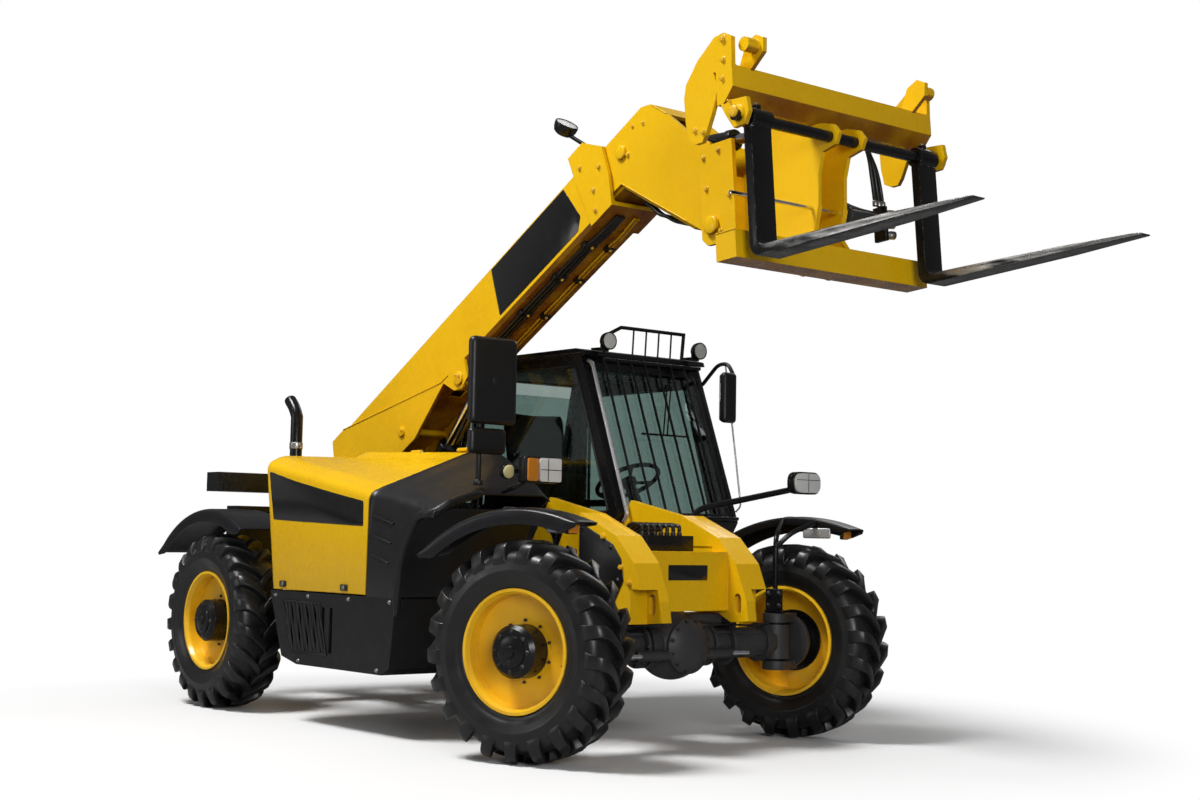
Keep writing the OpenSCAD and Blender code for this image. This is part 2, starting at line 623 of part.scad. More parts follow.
module boom_outer() on_boom() color(yellow) {
    difference() {
        box_tube(120, boom_len - 180, boom_w, boom_h, 18, boom_wall);
        block(lift_eye[0] - 270, lift_eye[0] + 70, -42, 42, -boom_h / 2 - 1, -boom_h / 2 + boom_wall + 1);
    }
    difference() {
        side_plate(-boom_w / 2 - 6, boom_w / 2 + 6) polygon([[boom_len - 190, 100], [boom_len - 180, 255],
            [boom_len - 50, 255], [boom_len + 65, 140], [boom_len + 42, -20], [boom_len - 10, -boom_h / 2 - 8],
            [boom_len - 190, -boom_h / 2 - 8]]);
        cross_plate(boom_len - 200, boom_len + 100)
            tube_section(boom_w - 2 * boom_wall, boom_h - 2 * boom_wall, 12);
    }
    both_sides() difference() {
        union() {
            side_plate(boom_w / 2 - boom_wall, boom_w / 2 + 6) polygon([[-60, -200], [60, 165], [200, 165], [1210, -150],
                [1290, -150], [1460, -150], [1440, -260], [1368, -285], [1300, -260], [1230, -166], [840, -290],
                [300, -290], [60, -235]]);
            cross_bar(0, -boom_drop, 190, 60, boom_w / 2);
            cross_bar(lift_eye[0], lift_eye[1], 130, lift_rod_d / 2 + 20, boom_w / 2);
        }
        cross_bar(0, -boom_drop, foot_pin_d + 2 * pin_gap, 0, boom_w);
        cross_bar(lift_eye[0], lift_eye[1], 48, 0, boom_w);
    }
    cross_bar(lift_eye[0], lift_eye[1], 48, -boom_w / 2 - 12, -lift_rod_d / 2 - 12);
    cross_bar(lift_eye[0], lift_eye[1], 48, lift_rod_d / 2 + 12, boom_w / 2 + 12);
    cross_bar(748, -187, 44, -boom_w / 2 - 10, boom_w / 2 + 10);
}

module boom_lamp() on_boom() color(black) {
    tube([[boom_len - 150, 0, 255.1], [boom_len - 150, 0, 330], [boom_len - 260, 0, 520]], 22);
    translate([boom_len - 270, 0, 560]) rotate([0, 60 + boom_angle - 25, 0]) cylinder(d = 130, h = 70, center = true);
}

inner_w = boom_w - 2 * boom_wall - 2 * boom_gap;
inner_h = 240;
plate_t = 20;

module head_outline() difference() {
    union() {
        polygon([[2700, -105], [2965, -105], [3350, -700], [3440, -760], [3490, -700], [3570, -330], [3490, -216],
            [3401, -17], [3330, 105], [3265, 140], [2700, 140]]);
        translate(head_pin) circle(r = 75);
    }
}

module boom_inner() on_boom() color(yellow) {
    translate([0, 0, 17]) box_tube(420, 2720, inner_w, inner_h + 5, 14, 10);
    both_sides() difference() {
        side_plate(inner_w / 2 - plate_t, inner_w / 2) head_outline();
        cross_bar(head_pin[0], head_pin[1], 64, 0, boom_w);
        cross_bar(tilt_base[0], tilt_base[1], 56, 0, boom_w);
    }
    side = inner_w / 2 - plate_t + eps;
    side_plate(-side, side) polygon([[2700, 140], [3265, 140], [3330, 105], [3401, -17], [3385, -25],
        [3318, 92], [3260, 124], [2700, 124]]);
    side_plate(-side, side) polygon([[2700, -105], [2965, -105], [3290, -608], [3276, -618], [2957, -121],
        [2700, -121]]);
    cross_bar(tilt_base[0], tilt_base[1], 56, -inner_w / 2 - 10, inner_w / 2 + 10);
}

// ---- Cylinders ----

// A cylinder's barrel with its eye at the origin, pointing along +X.
module barrel(d, rod_d, length, pin_d, eye_w) {
    difference() {
        union() {
            bar([pin_d * 0.9, 0, 0], [length, 0, 0], d);
            cross_bar(0, 0, pin_d * 2, -eye_w / 2, eye_w / 2);
            block(0, pin_d * 1.4, -eye_w / 2, eye_w / 2, -pin_d * 0.8, pin_d * 0.8);
        }
        cross_bar(0, 0, pin_d + 2 * pin_gap, -eye_w, eye_w);
        bar([pin_d * 1.6, 0, 0], [length + 1, 0, 0], rod_d + 2 * pin_gap);
    }
}

// A cylinder's rod with its eye at the origin, pointing back along -X.
module piston_rod(rod_d, length, eye_d, eye_w) {
    bar([-length, 0, 0], [-eye_d * 0.3, 0, 0], rod_d);
    difference() {
        cross_bar(0, 0, eye_d, -eye_w / 2, eye_w / 2);
        cross_bar(0, 0, eye_d * 0.45, -eye_w, eye_w);
    }
}

lift_eye_xz = on_boom_xz(lift_eye);
lift_vec = lift_eye_xz - lift_base;
lift_len = norm(lift_vec);

module on_lift() placed() translate([lift_base[0], 0, lift_base[1]]) rotate([0, -angle_of(lift_vec), 0]) children();

module lift_barrel() on_lift() color(black) barrel(lift_d, lift_rod_d, 1000, 60, 90);
module lift_rod() on_lift() color(steel) translate([lift_len, 0, 0]) piston_rod(lift_rod_d, 830, 80, 60);

tilt_base_xz = on_boom_xz(tilt_base);
tilt_vec = eye_xz - tilt_base_xz;
tilt_len = norm(tilt_vec);

module on_tilt() placed() translate([tilt_base_xz[0], 0, tilt_base_xz[1]]) rotate([0, -angle_of(tilt_vec), 0])
    children();

module tilt_barrel() on_tilt() color(black) barrel(tilt_d, tilt_rod_d, 680, 56, 80);
module tilt_rod() on_tilt() color(steel) translate([tilt_len, 0, 0]) piston_rod(tilt_rod_d, 730, 96, 56);

// ---- Carriage and forks ----

s_plate_y = [72, 92];
cheek_plate_y = [138, 160];
side_w = 22;

module s_plate_outline() polygon([[-60, -45], [0, -78], [140, -100], [470, -325], [595, -325], [595, -205],
    [560, -150], [600, -30], [610, 110], [640, 200], [720, 215], [745, 262], [715, 305], [640, 330], [560, 335],
    [560, 480], [480, 485], [380, 455], [285, 460], [225, 400], [190, 250], [60, 80], [-60, 50]]);

module hitch_outline() polygon([[-75, -55], [-40, -88], [150, -95], [150, 380], [-55, 385], [-75, 330]]);

module hook_outline() polygon([[561, 632], [619, 636], [665, 608], [659, 487], [600, 470], [545, 480],
    [567, 418], [551, 361], [528, 310], [480, 223], [458, 198], [416, 199], [377, 220], [362, 298], [358, 417],
    [373, 474], [452, 560]]);

module shaft_lug_outline() polygon([[575, 345], [600, 325], [640, 335], [735, 325], [745, 262], [715, 212],
    [650, 212], [600, 290]]);

module lug_outline() polygon([[580, 480], [659, 480], [740, 540], [745, 600], [700, 625], [640, 600]]);

module fork_carriage() on_carriage() color(yellow) {
    half = carriage_w / 2;
    difference() {
        side_plate(-half, half) polygon([[560, 487], [659, 487], [659, 392], [600, 330], [560, 330]]);
        side_plate(-half + side_w, half - side_w) polygon([[572, 475], [647, 475], [647, 398], [594, 342],
            [572, 342]]);
    }
    difference() {
        block(480, 600, -half + 30, half - 30, -325, -205);
        block(492, 588, -half + 31, half - 31, -313, -217);
    }
    both_sides() {
        difference() {
            side_plate(s_plate_y[0], s_plate_y[1]) s_plate_outline();
            cross_bar(shaft_uw[0], shaft_uw[1], shaft_d, 0, half);
            cross_bar(0, 0, 62, 0, half);
        }
        side_plate(half - side_w, half) hook_outline();
        difference() {
            side_plate(half - side_w, half) shaft_lug_outline();
            cross_bar(shaft_uw[0], shaft_uw[1], shaft_d, 0, half + 1);
        }
        side_plate(cheek_plate_y[0], cheek_plate_y[1]) hitch_outline();
        side_plate(half - 130, half - 130 + side_w) lug_outline();
        cross_bar(695, 572, 62, half - 110, half - 40);
    }
    block(130, 150, -cheek_plate_y[1], cheek_plate_y[1], -60, 200);
    cross_bar(0, 0, 62, -cheek_plate_y[1] - 10, cheek_plate_y[1] + 10);
}

module fork_shaft() on_carriage() color(black)
    cross_bar(shaft_uw[0], shaft_uw[1], shaft_d, -carriage_w / 2 - shaft_stub, carriage_w / 2 + shaft_stub);

module fork() {
    tip = shank_u + fork_t + fork_len;
    difference() {
        union() {
            side_plate(-fork_w / 2, fork_w / 2) polygon([[shank_u, shaft_uw[1]], [shank_u + fork_t, shaft_uw[1]],
                [shank_u + fork_t, heel_w + fork_t + 10], [shank_u + fork_t + 10, heel_w + fork_t],
                [tip - 20, heel_w + 14], [tip, heel_w + 6], [tip, heel_w], [shank_u + 15, heel_w],
                [shank_u, heel_w + 15]]);
            cross_bar(shaft_uw[0], shaft_uw[1], shaft_d + 40, -fork_w / 2, fork_w / 2);
        }
        cross_bar(shaft_uw[0], shaft_uw[1], shaft_d + 3, -fork_w, fork_w);
        both_sides() translate([tip, fork_w / 2, heel_w - 1]) linear_extrude(fork_t)
            polygon([[-220, eps], [0, -30], [eps, -30], [eps, eps]]);
    }
}

module fork_right() on_carriage() color(black) translate([0, -fork_y, 0]) fork();
module fork_left() on_carriage() color(black) translate([0, fork_y, 0]) fork();

chassis_frame();
cross_members();
front_axle();
rear_axle();
engine_block();
side_skirt();
pod_front_cover();
engine_hood();
exhaust_stack();
rear_crossbar();
rear_mudguards();
cab_frame();
cab_glass();
cab_guards();
cab_door();
door_glass();
driver_seat();
steering_console();
mirrors();
lamps();
boom_outer();
boom_lamp();
boom_inner();
lift_barrel();
lift_rod();
tilt_barrel();
tilt_rod();
fork_carriage();
fork_shaft();
fork_right();
fork_left();
knuckle_front_right();
knuckle_front_left();
knuckle_rear_right();
knuckle_rear_left();
front_mudguard_right();
front_mudguard_left();
tyre_front_right();
tyre_front_left();
tyre_rear_right();
tyre_rear_left();
rim_front_right();
rim_front_left();
rim_rear_right();
rim_rear_left();
hub_front_right();
hub_front_left();
hub_rear_right();
hub_rear_left();
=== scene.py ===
"""Dresses a compact telehandler: paint, tyres, glass, cab fittings, lamps and the working hitch.

Each sub-assembly is a class that holds its sizes in millimetres and builds its own pieces on the
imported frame. Local frames (vehicle, boom, carriage, knuckle, wheel) come from the record's joints.
"""

import json
import logging
import math
from dataclasses import dataclass
from enum import Enum
from functools import cache
from typing import Callable, Dict, List, Optional, Sequence, Tuple, Union

import bmesh
import bpy
from mathutils import Matrix, Vector


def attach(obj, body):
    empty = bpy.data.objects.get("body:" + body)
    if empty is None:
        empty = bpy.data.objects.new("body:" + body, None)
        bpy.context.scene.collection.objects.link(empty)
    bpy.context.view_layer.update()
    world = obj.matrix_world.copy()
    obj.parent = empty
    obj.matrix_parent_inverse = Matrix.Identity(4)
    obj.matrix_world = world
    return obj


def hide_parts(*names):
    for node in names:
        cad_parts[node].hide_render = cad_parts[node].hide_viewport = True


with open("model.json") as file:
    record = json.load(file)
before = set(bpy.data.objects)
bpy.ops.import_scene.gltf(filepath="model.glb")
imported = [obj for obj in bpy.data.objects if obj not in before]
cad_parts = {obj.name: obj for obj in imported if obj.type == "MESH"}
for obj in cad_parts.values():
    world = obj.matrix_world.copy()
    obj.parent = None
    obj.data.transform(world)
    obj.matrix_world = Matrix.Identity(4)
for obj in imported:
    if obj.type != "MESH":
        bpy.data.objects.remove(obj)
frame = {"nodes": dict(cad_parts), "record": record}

LOG = logging.getLogger("telehandler")
Point = Tuple[float, float, float]
Flat = Tuple[float, float]
Colour = Tuple[float, float, float]
Socket = bpy.types.NodeSocket
Sockets = bpy.types.bpy_prop_collection
Value = Union[Socket, float, Tuple[float, ...]]
Look = Optional["Finish"]

MM = 0.001
TURN = 2 * math.pi
X, Y, Z, DOWN = (1, 0, 0), (0, 1, 0), (0, 0, 1), (0, 0, -1)
SIDES = (-1, 1)
WHITE = (1.0, 1.0, 1.0)
# Points closer than this are one, in metres.
WELD = 2e-5
# Edges turning by more than these angles are rounded, or else shaded crisp, in degrees.
ROUNDED, CRISP = 38, 42
# The boom's centre line over its foot pin, and the carriage's parked tilt in degrees.
BOOM_RISE, PARKED_TILT = 120, 4.9
# Where the main parts lie on the vehicle, which CAD sets.
AXLE_X, WHEEL_Z, WHEEL_INSET = 1400, 490, 190


class Slot(Enum):
    """The record's material slots."""

    YELLOW = "paint_yellow"
    BLACK = "paint_black"
    PLASTIC = "plastic_black"
    SKIRT = "plastic_grey"
    AXLE = "axle_grey"
    TYRE = "tyre_rubber"
    FORK = "fork_steel"
    SEAT = "seat_vinyl"
    LAMP = "lamp_glass"


class Hand(Enum):
    """Which side of the machine a piece is on."""

    RIGHT = -1
    LEFT = 1


class Reach(Enum):
    """Which end of the machine a wheel is at."""

    FRONT = "front"
    REAR = "rear"


def corner_name(reach: Reach, hand: Hand) -> str:
    """Returns the name of one of the machine's four corners."""
    return f"{reach.value}_{hand.name.lower()}"


# ---- local frames


class Layout:
    """Local frames of the machine, in millimetres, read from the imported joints."""

    def __init__(self, record: dict) -> None:
        """Keeps the record's joints by name."""
        self.joints: Dict[str, dict] = {j["name"]: j for j in record["behaviour"]["joints"]}

    def pin(self, name: str) -> Vector:
        """Returns the point of a joint, in metres."""
        return Vector(self.joints[name]["pos_m"])

    def slope(self, stroke: str) -> Matrix:
        """Returns the turn that lays X along a sliding joint."""
        axis = Vector(self.joints[stroke]["axis"]).normalized()
        return Matrix.Rotation(-math.atan2(axis.z, axis.x), 4, "Y")

    def vehicle(self) -> Matrix:
        """Returns the frame at mid wheelbase on the ground."""
        middle = (self.pin("front_steer_left").x + self.pin("rear_steer_left").x) / 2
        return Matrix.Translation((middle, 0, 0)) @ Matrix.Scale(MM, 4)

    def mirrored(self, hand: Hand) -> Matrix:
        """Returns the vehicle's frame with Y pointing outboard."""
        return self.vehicle() @ Matrix.Diagonal((1, hand.value, 1, 1))

    def boom(self) -> Matrix:
        """Returns the boom's frame: X along its centre line, from over the foot pin."""
        place = Matrix.Translation(self.pin("boom_lift")) @ self.slope("boom_extend")
        return place @ Matrix.Scale(MM, 4) @ Matrix.Translation((0, 0, BOOM_RISE))

    def carriage(self) -> Matrix:
        """Returns the carriage's frame at its pivot pin, tilted as it is parked."""
        turn = Matrix.Rotation(-math.radians(PARKED_TILT), 4, "Y")
        return Matrix.Translation(self.pin("carriage_tilt")) @ turn @ Matrix.Scale(MM, 4)

    def cylinder(self, name: str) -> Matrix:
        """Returns the lift or tilt cylinder's frame at its barrel's pin: X along the rod."""
        turn = self.slope(f"{name}_rod_stroke")
        return Matrix.Translation(self.pin(f"{name}_barrel_swing")) @ turn @ Matrix.Scale(MM, 4)

    def knuckle(self, reach: Reach, hand: Hand) -> Matrix:
        """Returns a knuckle's frame at wheel height.

        Args:
            reach: Which axle it is on.
            hand: Which side it is on.

        Returns:
            The matrix from millimetres, with Y pointing outboard.
        """
        side = hand.name.lower()
        spin = Vector(self.joints[f"wheel_{reach.value}_{side}_spin"]["axis"]).normalized()
        at = self.pin(f"{reach.value}_steer_{side}")
        at.z = self.pin(f"wheel_{reach.value}_{side}_spin").z
        steer = Matrix.Rotation(math.atan2(-spin.x, spin.y), 4, "Z")
        flip = Matrix.Diagonal((1, hand.value, 1, 1))
        return Matrix.Translation(at) @ steer @ flip @ Matrix.Scale(MM, 4)

    def wheel(self, reach: Reach, hand: Hand) -> Matrix:
        """Returns a wheel's frame: Z points outboard from its middle plane."""
        place = Matrix.Translation((0, WHEEL_INSET, 0)) @ Matrix.Rotation(-math.pi / 2, 4, "X")
        return self.knuckle(reach, hand) @ place


# ---- mesh code


def spokes(steps: int, shift: float = 0) -> List[float]:
    """Returns the angles of a full turn in equal steps, the first at shift of a step."""
    return [TURN * (k + shift) / steps for k in range(steps)]


def polar(radius: float, angle: float) -> Flat:
    """Returns the point at a radius and an angle in radians."""
    return radius * math.cos(angle), radius * math.sin(angle)


def round_corner(start: Vector, corner: Vector, end: Vector, steps: int) -> List[Vector]:
    """Returns points on the curve from start to end that a corner between them pulls out."""
    shares = [k / steps for k in range(steps + 1)]
    return [(1 - t) ** 2 * start + 2 * t * (1 - t) * corner + t * t * end for t in shares]


def fillet(points: Sequence[Flat], radii: Sequence[float], steps: int = 6) -> List[Flat]:
    """Rounds the inner corners of an open outline.

    Args:
        points: The outline's corners.
        radii: One radius for each corner; the two ends are left alone.
        steps: How many pieces each round is drawn with.

    Returns:
        The rounded outline.
    """
    out: List[Flat] = [points[0]]
    for before, here, after, radius in zip(points, points[1:], points[2:], radii[1:]):
        corner = Vector(here)
        a, b = Vector(before) - corner, Vector(after) - corner
        turn = a.angle(b) if a.length > 0 and b.length > 0 else math.pi
        if radius <= 0:
            out.append(here)
            continue
        cut = min(radius / math.tan(turn / 2), a.length * 0.49, b.length * 0.49)
        start, end = corner + a.normalized() * cut, corner + b.normalized() * cut
        out += [tuple(p) for p in round_corner(start, corner, end, steps)]
    out.append(points[-1])
    return out


def closed_fillet(points: Sequence[Flat], radius: float, steps: int = 5) -> List[Flat]:
    """Rounds every corner of a closed outline by one radius."""
    ring = [points[-1], *points, points[0]]
    return fillet(ring, [radius] * len(ring), steps)[1:-1]


def arc(centre: Flat, radius: float, first: float, last: float, steps: int) -> List[Flat]:
    """Returns points on an arc, from one angle to the other, in degrees."""
    angles = [math.radians(first + (last - first) * i / steps) for i in range(steps + 1)]
    return [(centre[0] + radius * math.cos(a), centre[1] + radius * math.sin(a)) for a in angles]


def height_at(x: float, knots: Sequence[Flat]) -> float:
    """Reads a height off a broken line.

    Args:
        x: Where the height is wanted.
        knots: The line's corners, as x and height.

    Returns:
        The height at x, or the last knot's height past it.
    """
    for (x0, z0), (x1, z1) in zip(knots, knots[1:]):
        if x <= x1:
            return z0 + (z1 - z0) * max(0.0, (x - x0) / (x1 - x0))
    return knots[-1][1]


def relax(rows: List[List[Point]], times: int) -> List[List[Point]]:
    """Smooths the inside of a sheet of points and leaves its edges alone.

    Args:
        rows: Rows of equal length.
        times: How often the points are averaged.

    Returns:
        The smoothed rows.
    """
    now = [[Vector(p) for p in row] for row in rows]
    for _ in range(times):
        last = [[p.copy() for p in row] for row in now]
        for i in range(1, len(rows) - 1):
            for j in range(1, len(rows[0]) - 1):
                near = last[i - 1][j] + last[i + 1][j] + last[i][j - 1] + last[i][j + 1]
                now[i][j] = last[i][j] * 0.5 + near * 0.125
    return [[tuple(p) for p in row] for row in now]


class Shape:
    """A piece in the making: its faces are given in millimetres of a local frame."""

    def __init__(self, name: str, place: Matrix, finish: "Finish") -> None:
        """Starts an empty piece.

        Args:
            name: The piece's name.
            place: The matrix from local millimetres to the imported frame.
            finish: The finish of all faces that name no other.
        """
        self.name, self.place, self.finish = name, place, finish
        self.verts: List[Vector] = []
        self.faces: List[Tuple[Tuple[int, ...], "Finish", bool]] = []

    def grid(self, rows: Sequence[Sequence[Point]], around: bool = False, finish: Look = None,
             soft: bool = True, caps: bool = False, loop: bool = False) -> None:
        """Adds a sheet of quads through rows of points.

        Args:
            rows: Rows of equal length.
            around: Whether each row closes on itself.
            finish: Which finish the faces take.
            soft: Whether the faces shade smoothly.
            caps: Whether the first and the last row are closed with a face.
            loop: Whether the last row joins the first.
        """
        base, n, m = len(self.verts), len(rows[0]), len(rows)
        if any(len(row) != n for row in rows):
            raise ValueError(f"{self.name}: rows of unequal length")
        for row in rows:
            self.verts.extend(Vector(p) for p in row)
        look = finish or self.finish
        for i in range(m if loop else m - 1):
            for j in range(n if around else n - 1):
                a, b, k = base + i * n, base + ((i + 1) % m) * n, (j + 1) % n
                self.faces.append(((a + j, a + k, b + k, b + j), look, soft))
        if caps:
            last = base + (m - 1) * n
            self.faces.append((tuple(base + j for j in reversed(range(n))), look, False))
            self.faces.append((tuple(last + j for j in range(n)), look, False))

    def plate(self, outline: Sequence[Flat], start: float, end: float, finish: Look = None,
              axis: str = "Y", soft: bool = False) -> None:
        """Adds a flat plate whose outline is drawn in the plane across axis.

        Args:
            outline: The corners of the plate.
            start: Where the plate starts along axis.
            end: Where it ends.
            finish: Its finish, if not the piece's own.
            axis: X, Y or Z.
            soft: Whether the rim shades smoothly.
        """
        place: Callable[[Flat, float], Point] = {
            "X": lambda p, t: (t, p[0], p[1]),
            "Y": lambda p, t: (p[0], t, p[1]),
            "Z": lambda p, t: (p[0], p[1], t)}[axis]
        self.grid([[place(p, t) for p in outline] for t in (start, end)], around=True, finish=finish,
                  soft=soft, caps=True)

    def panel(self, low: Flat, high: Flat, radius: float, start: float, end: float,
              finish: Look = None, steps: int = 4, soft: bool = False) -> None:
        """Adds a plate across X with rounded corners; low and high are its corners as y and z."""
        corners = [low, (high[0], low[1]), high, (low[0], high[1])]
        self.plate(closed_fillet(corners, radius, steps), start, end, finish, "X", soft)

    def box(self, low: Point, high: Point, finish: Look = None) -> None:
        """Adds a plain box, meant to be rounded by the piece's bevel."""
        outline = [(low[0], low[1]), (high[0], low[1]), (high[0], high[1]), (low[0], high[1])]
        self.plate(outline, low[2], high[2], finish, "Z")

    def pad(self, low: Point, high: Point, radius: float, finish: Look = None,
            axis: str = "X") -> None:
        """Adds a rounded block with soft corners, lofted along one axis.

        Args:
            low: Its lowest corner.
            high: Its highest corner.
            radius: The radius of its corners, seen along axis.
            finish: Its finish, if not the piece's own.
            axis: The axis that it is lofted along.
        """
        a, b, c = {"X": (0, 1, 2), "Y": (1, 2, 0), "Z": (2, 0, 1)}[axis]
        mid = [(low[i] + high[i]) / 2 for i in range(3)]
        half = [(high[i] - low[i]) / 2 for i in range(3)]
        edge = min(radius, half[a] * 0.9)
        turns = (0.0, 0.3, 0.7, 1.1, math.pi / 2)
        stations = [(-half[a] + edge * (1 - math.cos(t)), math.sin(t)) for t in turns]
        stations += [(-s, k) for s, k in reversed(stations)]
        rows = []
        for s, k in stations:
            shrink = edge * (1 - k)
            hb, hc = half[b] - shrink, half[c] - shrink
            r = max(min(radius - shrink * 0.5, hb * 0.95, hc * 0.95), 0.5)
            row = []
            for p, q in closed_fillet([(-hb, -hc), (hb, -hc), (hb, hc), (-hb, hc)], r, 4):
                point = [0.0, 0.0, 0.0]
                point[a], point[b], point[c] = mid[a] + s, mid[b] + p, mid[c] + q
                row.append(tuple(point))
            rows.append(row)
        self.grid(rows, around=True, finish=finish, caps=True)

    def tube(self, points: Sequence[Point], radius: Union[float, Sequence[float]], finish: Look = None,
             sides: int = 16) -> None:
        """Adds a round tube through points.

        Args:
            points: The tube's centre line.
            radius: Its radius, or one for each point.
            finish: Its finish, if not the piece's own.
            sides: How many sides it is drawn with.
        """
        path = [Vector(p) for p in points]
        steps = [b - a for a, b in zip(path, path[1:])]
        pairs = zip(steps[:1] + steps, steps + steps[-1:])
        tangents = [(a.normalized() + b.normalized()).normalized() for a, b in pairs]
        radii = radius if isinstance(radius, list) else [radius] * len(path)
        up = Vector(Z) if abs(tangents[0].z) < 0.9 else Vector(Y)
        side = tangents[0].cross(up).normalized()
        rows = []
        for p, t, r in zip(path, tangents, radii):
            side = (side - t * side.dot(t)).normalized()
            lift = t.cross(side)
            rows.append([tuple(p + r * (side * math.cos(a) + lift * math.sin(a))) for a in spokes(sides)])
        self.grid(rows, around=True, finish=finish, caps=True)

    def pipe(self, points: Sequence[Point], radius: float, bend: float, finish: Look = None,
             sides: int = 14) -> None:
        """Adds a tube whose corners are bent to a radius.

        Args:
            points: The corners of its centre line.
            radius: Its radius.
            bend: How far before each corner the bend starts.
            finish: Its finish, if not the piece's own.
            sides: How many sides it is drawn with.
        """
        path: List[Vector] = [Vector(points[0])]
        for before, here, after in zip(points, points[1:], points[2:]):
            corner = Vector(here)
            a, b = Vector(before) - corner, Vector(after) - corner
            cut = min(bend, a.length * 0.45, b.length * 0.45)
            path += round_corner(corner + a.normalized() * cut, corner, corner + b.normalized() * cut, 5)
        path.append(Vector(points[-1]))
        self.tube(path, radius, finish, sides)

    def turned(self, profile: Sequence[Flat], at: Point, axis: Point, finish: Look = None,
               steps: int = 32, soft: bool = True) -> None:
        """Adds a turned piece.

        Args:
            profile: Radius and distance along the axis, from one end to the other. A profile that
                starts wider and further along than it ends is a thin ring, open in the middle.
            at: Where the axis starts.
            axis: Its direction.
            finish: Its finish, if not the piece's own.
            steps: How many steps it is drawn with.
            soft: Whether it shades smoothly.
        """
        turn = Vector(Z).rotation_difference(Vector(axis).normalized()).to_matrix()
        hollow = profile[0][0] > profile[-1][0] and profile[0][1] > profile[-1][1]
        if hollow:
            profile = [*profile, *[(max(r - 1.5, 0.5), h - 3) for r, h in reversed(profile)], profile[0]]
        rows = [[tuple(Vector(at) + turn @ Vector((*polar(r, a), h))) for a in spokes(steps)]
                for r, h in profile]
        self.grid(rows, around=True, finish=finish, soft=soft, caps=not hollow)

    def bolt(self, at: Point, axis: Point, across: float, finish: Look = None) -> None:
        """Adds a hexagon head with its washer, standing on at.

        Args:
            at: Where its washer lies.
            axis: The way it points.
            across: Its width across flats.
            finish: Its finish, if not the piece's own.
        """
        r = across / math.sqrt(3)
        rim = across * 0.78
        washer = [(rim, -0.2 * across), (rim, across * 0.1), (across * 0.5, across * 0.12)]
        head = [(r, 0), (r, across * 0.5), (r * 0.86, across * 0.6), (r * 0.3, across * 0.62)]
        self.turned(washer, at, axis, finish, 20)
        self.turned(head, at, axis, finish, 6, False)

    def nipple(self, at: Point, axis: Point, finish: Look = None) -> None:
        """Adds a grease nipple, standing on at."""
        self.turned([(6, -2), (6, 5), (3.5, 6), (3.5, 12), (5, 14), (4, 18), (1, 19)], at, axis, finish, 10)

    def bead(self, points: Sequence[Point], radius: float, finish: Look = None) -> None:
        """Adds a weld bead, slightly rippled, along points.

        Args:
            points: The bead's centre line.
            radius: Its mean radius.
            finish: Its finish, if not the piece's own.
        """
        path: List[Vector] = []
        for a, b in zip(points, points[1:]):
            p, q = Vector(a), Vector(b)
            n = max(2, int((q - p).length / (radius * 1.6)))
            path += [p + (q - p) * (i / n) for i in range(n)]
        path.append(Vector(points[-1]))
        self.tube(path, [radius * (1.0 + 0.16 * math.sin(i * 2.4)) for i in range(len(path))], finish, 6)

    def make(self, slot: Slot, body: str = "chassis", bevel: float = 0, segments: int = 2, smooth: int = 0,
             shell: float = 0, replaces: str = "") -> bpy.types.Object:
        """Turns the piece into an object that rides on a body.

        Args:
            slot: The record's material slot for the piece; not used.
            body: The body it rides on.
            bevel: Width of the rounding on its sharp edges, in millimetres.
            segments: How many faces that rounding has.
            smooth: Levels of subdivision.
            shell: Wall thickness, in millimetres, where the piece is one sheet.
            replaces: The CAD node that it stands for.

        Returns:
            The new object.
        """
        mesh = bpy.data.meshes.new(self.name)
        mesh.from_pydata([tuple(self.place @ v) for v in self.verts], [], [ids for ids, _, _ in self.faces])
        finishes = list(dict.fromkeys([self.finish, *(finish for _, finish, _ in self.faces)]))
        for finish in finishes:
            mesh.materials.append(finish.material())
        for poly, (_, finish, soft) in zip(mesh.polygons, self.faces):
            poly.material_index = finishes.index(finish)
            poly.use_smooth = soft or bevel > 0 or smooth > 0
        bm = bmesh.new()
        bm.from_mesh(mesh)
        bmesh.ops.remove_doubles(bm, verts=bm.verts, dist=WELD)
        bmesh.ops.recalc_face_normals(bm, faces=bm.faces)
        bm.to_mesh(mesh)
        bm.free()
        item = bpy.data.objects.new(self.name, mesh)
        bpy.context.scene.collection.objects.link(item)
        if shell:
            wall = item.modifiers.new("shell", "SOLIDIFY")
            wall.thickness, wall.offset = shell * MM, -1
        if bevel:
            edge = item.modifiers.new("rounding", "BEVEL")
            edge.width, edge.segments, edge.limit_method = bevel * MM, segments, "ANGLE"
            edge.angle_limit, edge.harden_normals = math.radians(ROUNDED), False
        if smooth:
            fine = item.modifiers.new("fine", "SUBSURF")
            fine.levels = fine.render_levels = smooth
        settle(item)
        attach(item, body)
        if replaces:
            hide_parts(replaces)
        LOG.info("%s rides on %s, %d faces", self.name, body, len(item.data.polygons))
        return item


def settle(item: bpy.types.Object) -> None:
    """Applies an object's modifiers and keeps its sharp edges crisp.

    Args:
        item: The object.
    """
    bpy.context.view_layer.update()
    shown = item.evaluated_get(bpy.context.evaluated_depsgraph_get())
    mesh = bpy.data.meshes.new_from_object(shown)
    item.modifiers.clear()
    item.data = mesh
    bm = bmesh.new()
    bm.from_mesh(mesh)
    for edge in bm.edges:
        edge.smooth = len(edge.link_faces) != 2 or edge.calc_face_angle(0) < math.radians(CRISP)
    bm.to_mesh(mesh)
    bm.free()


# ---- shader groups


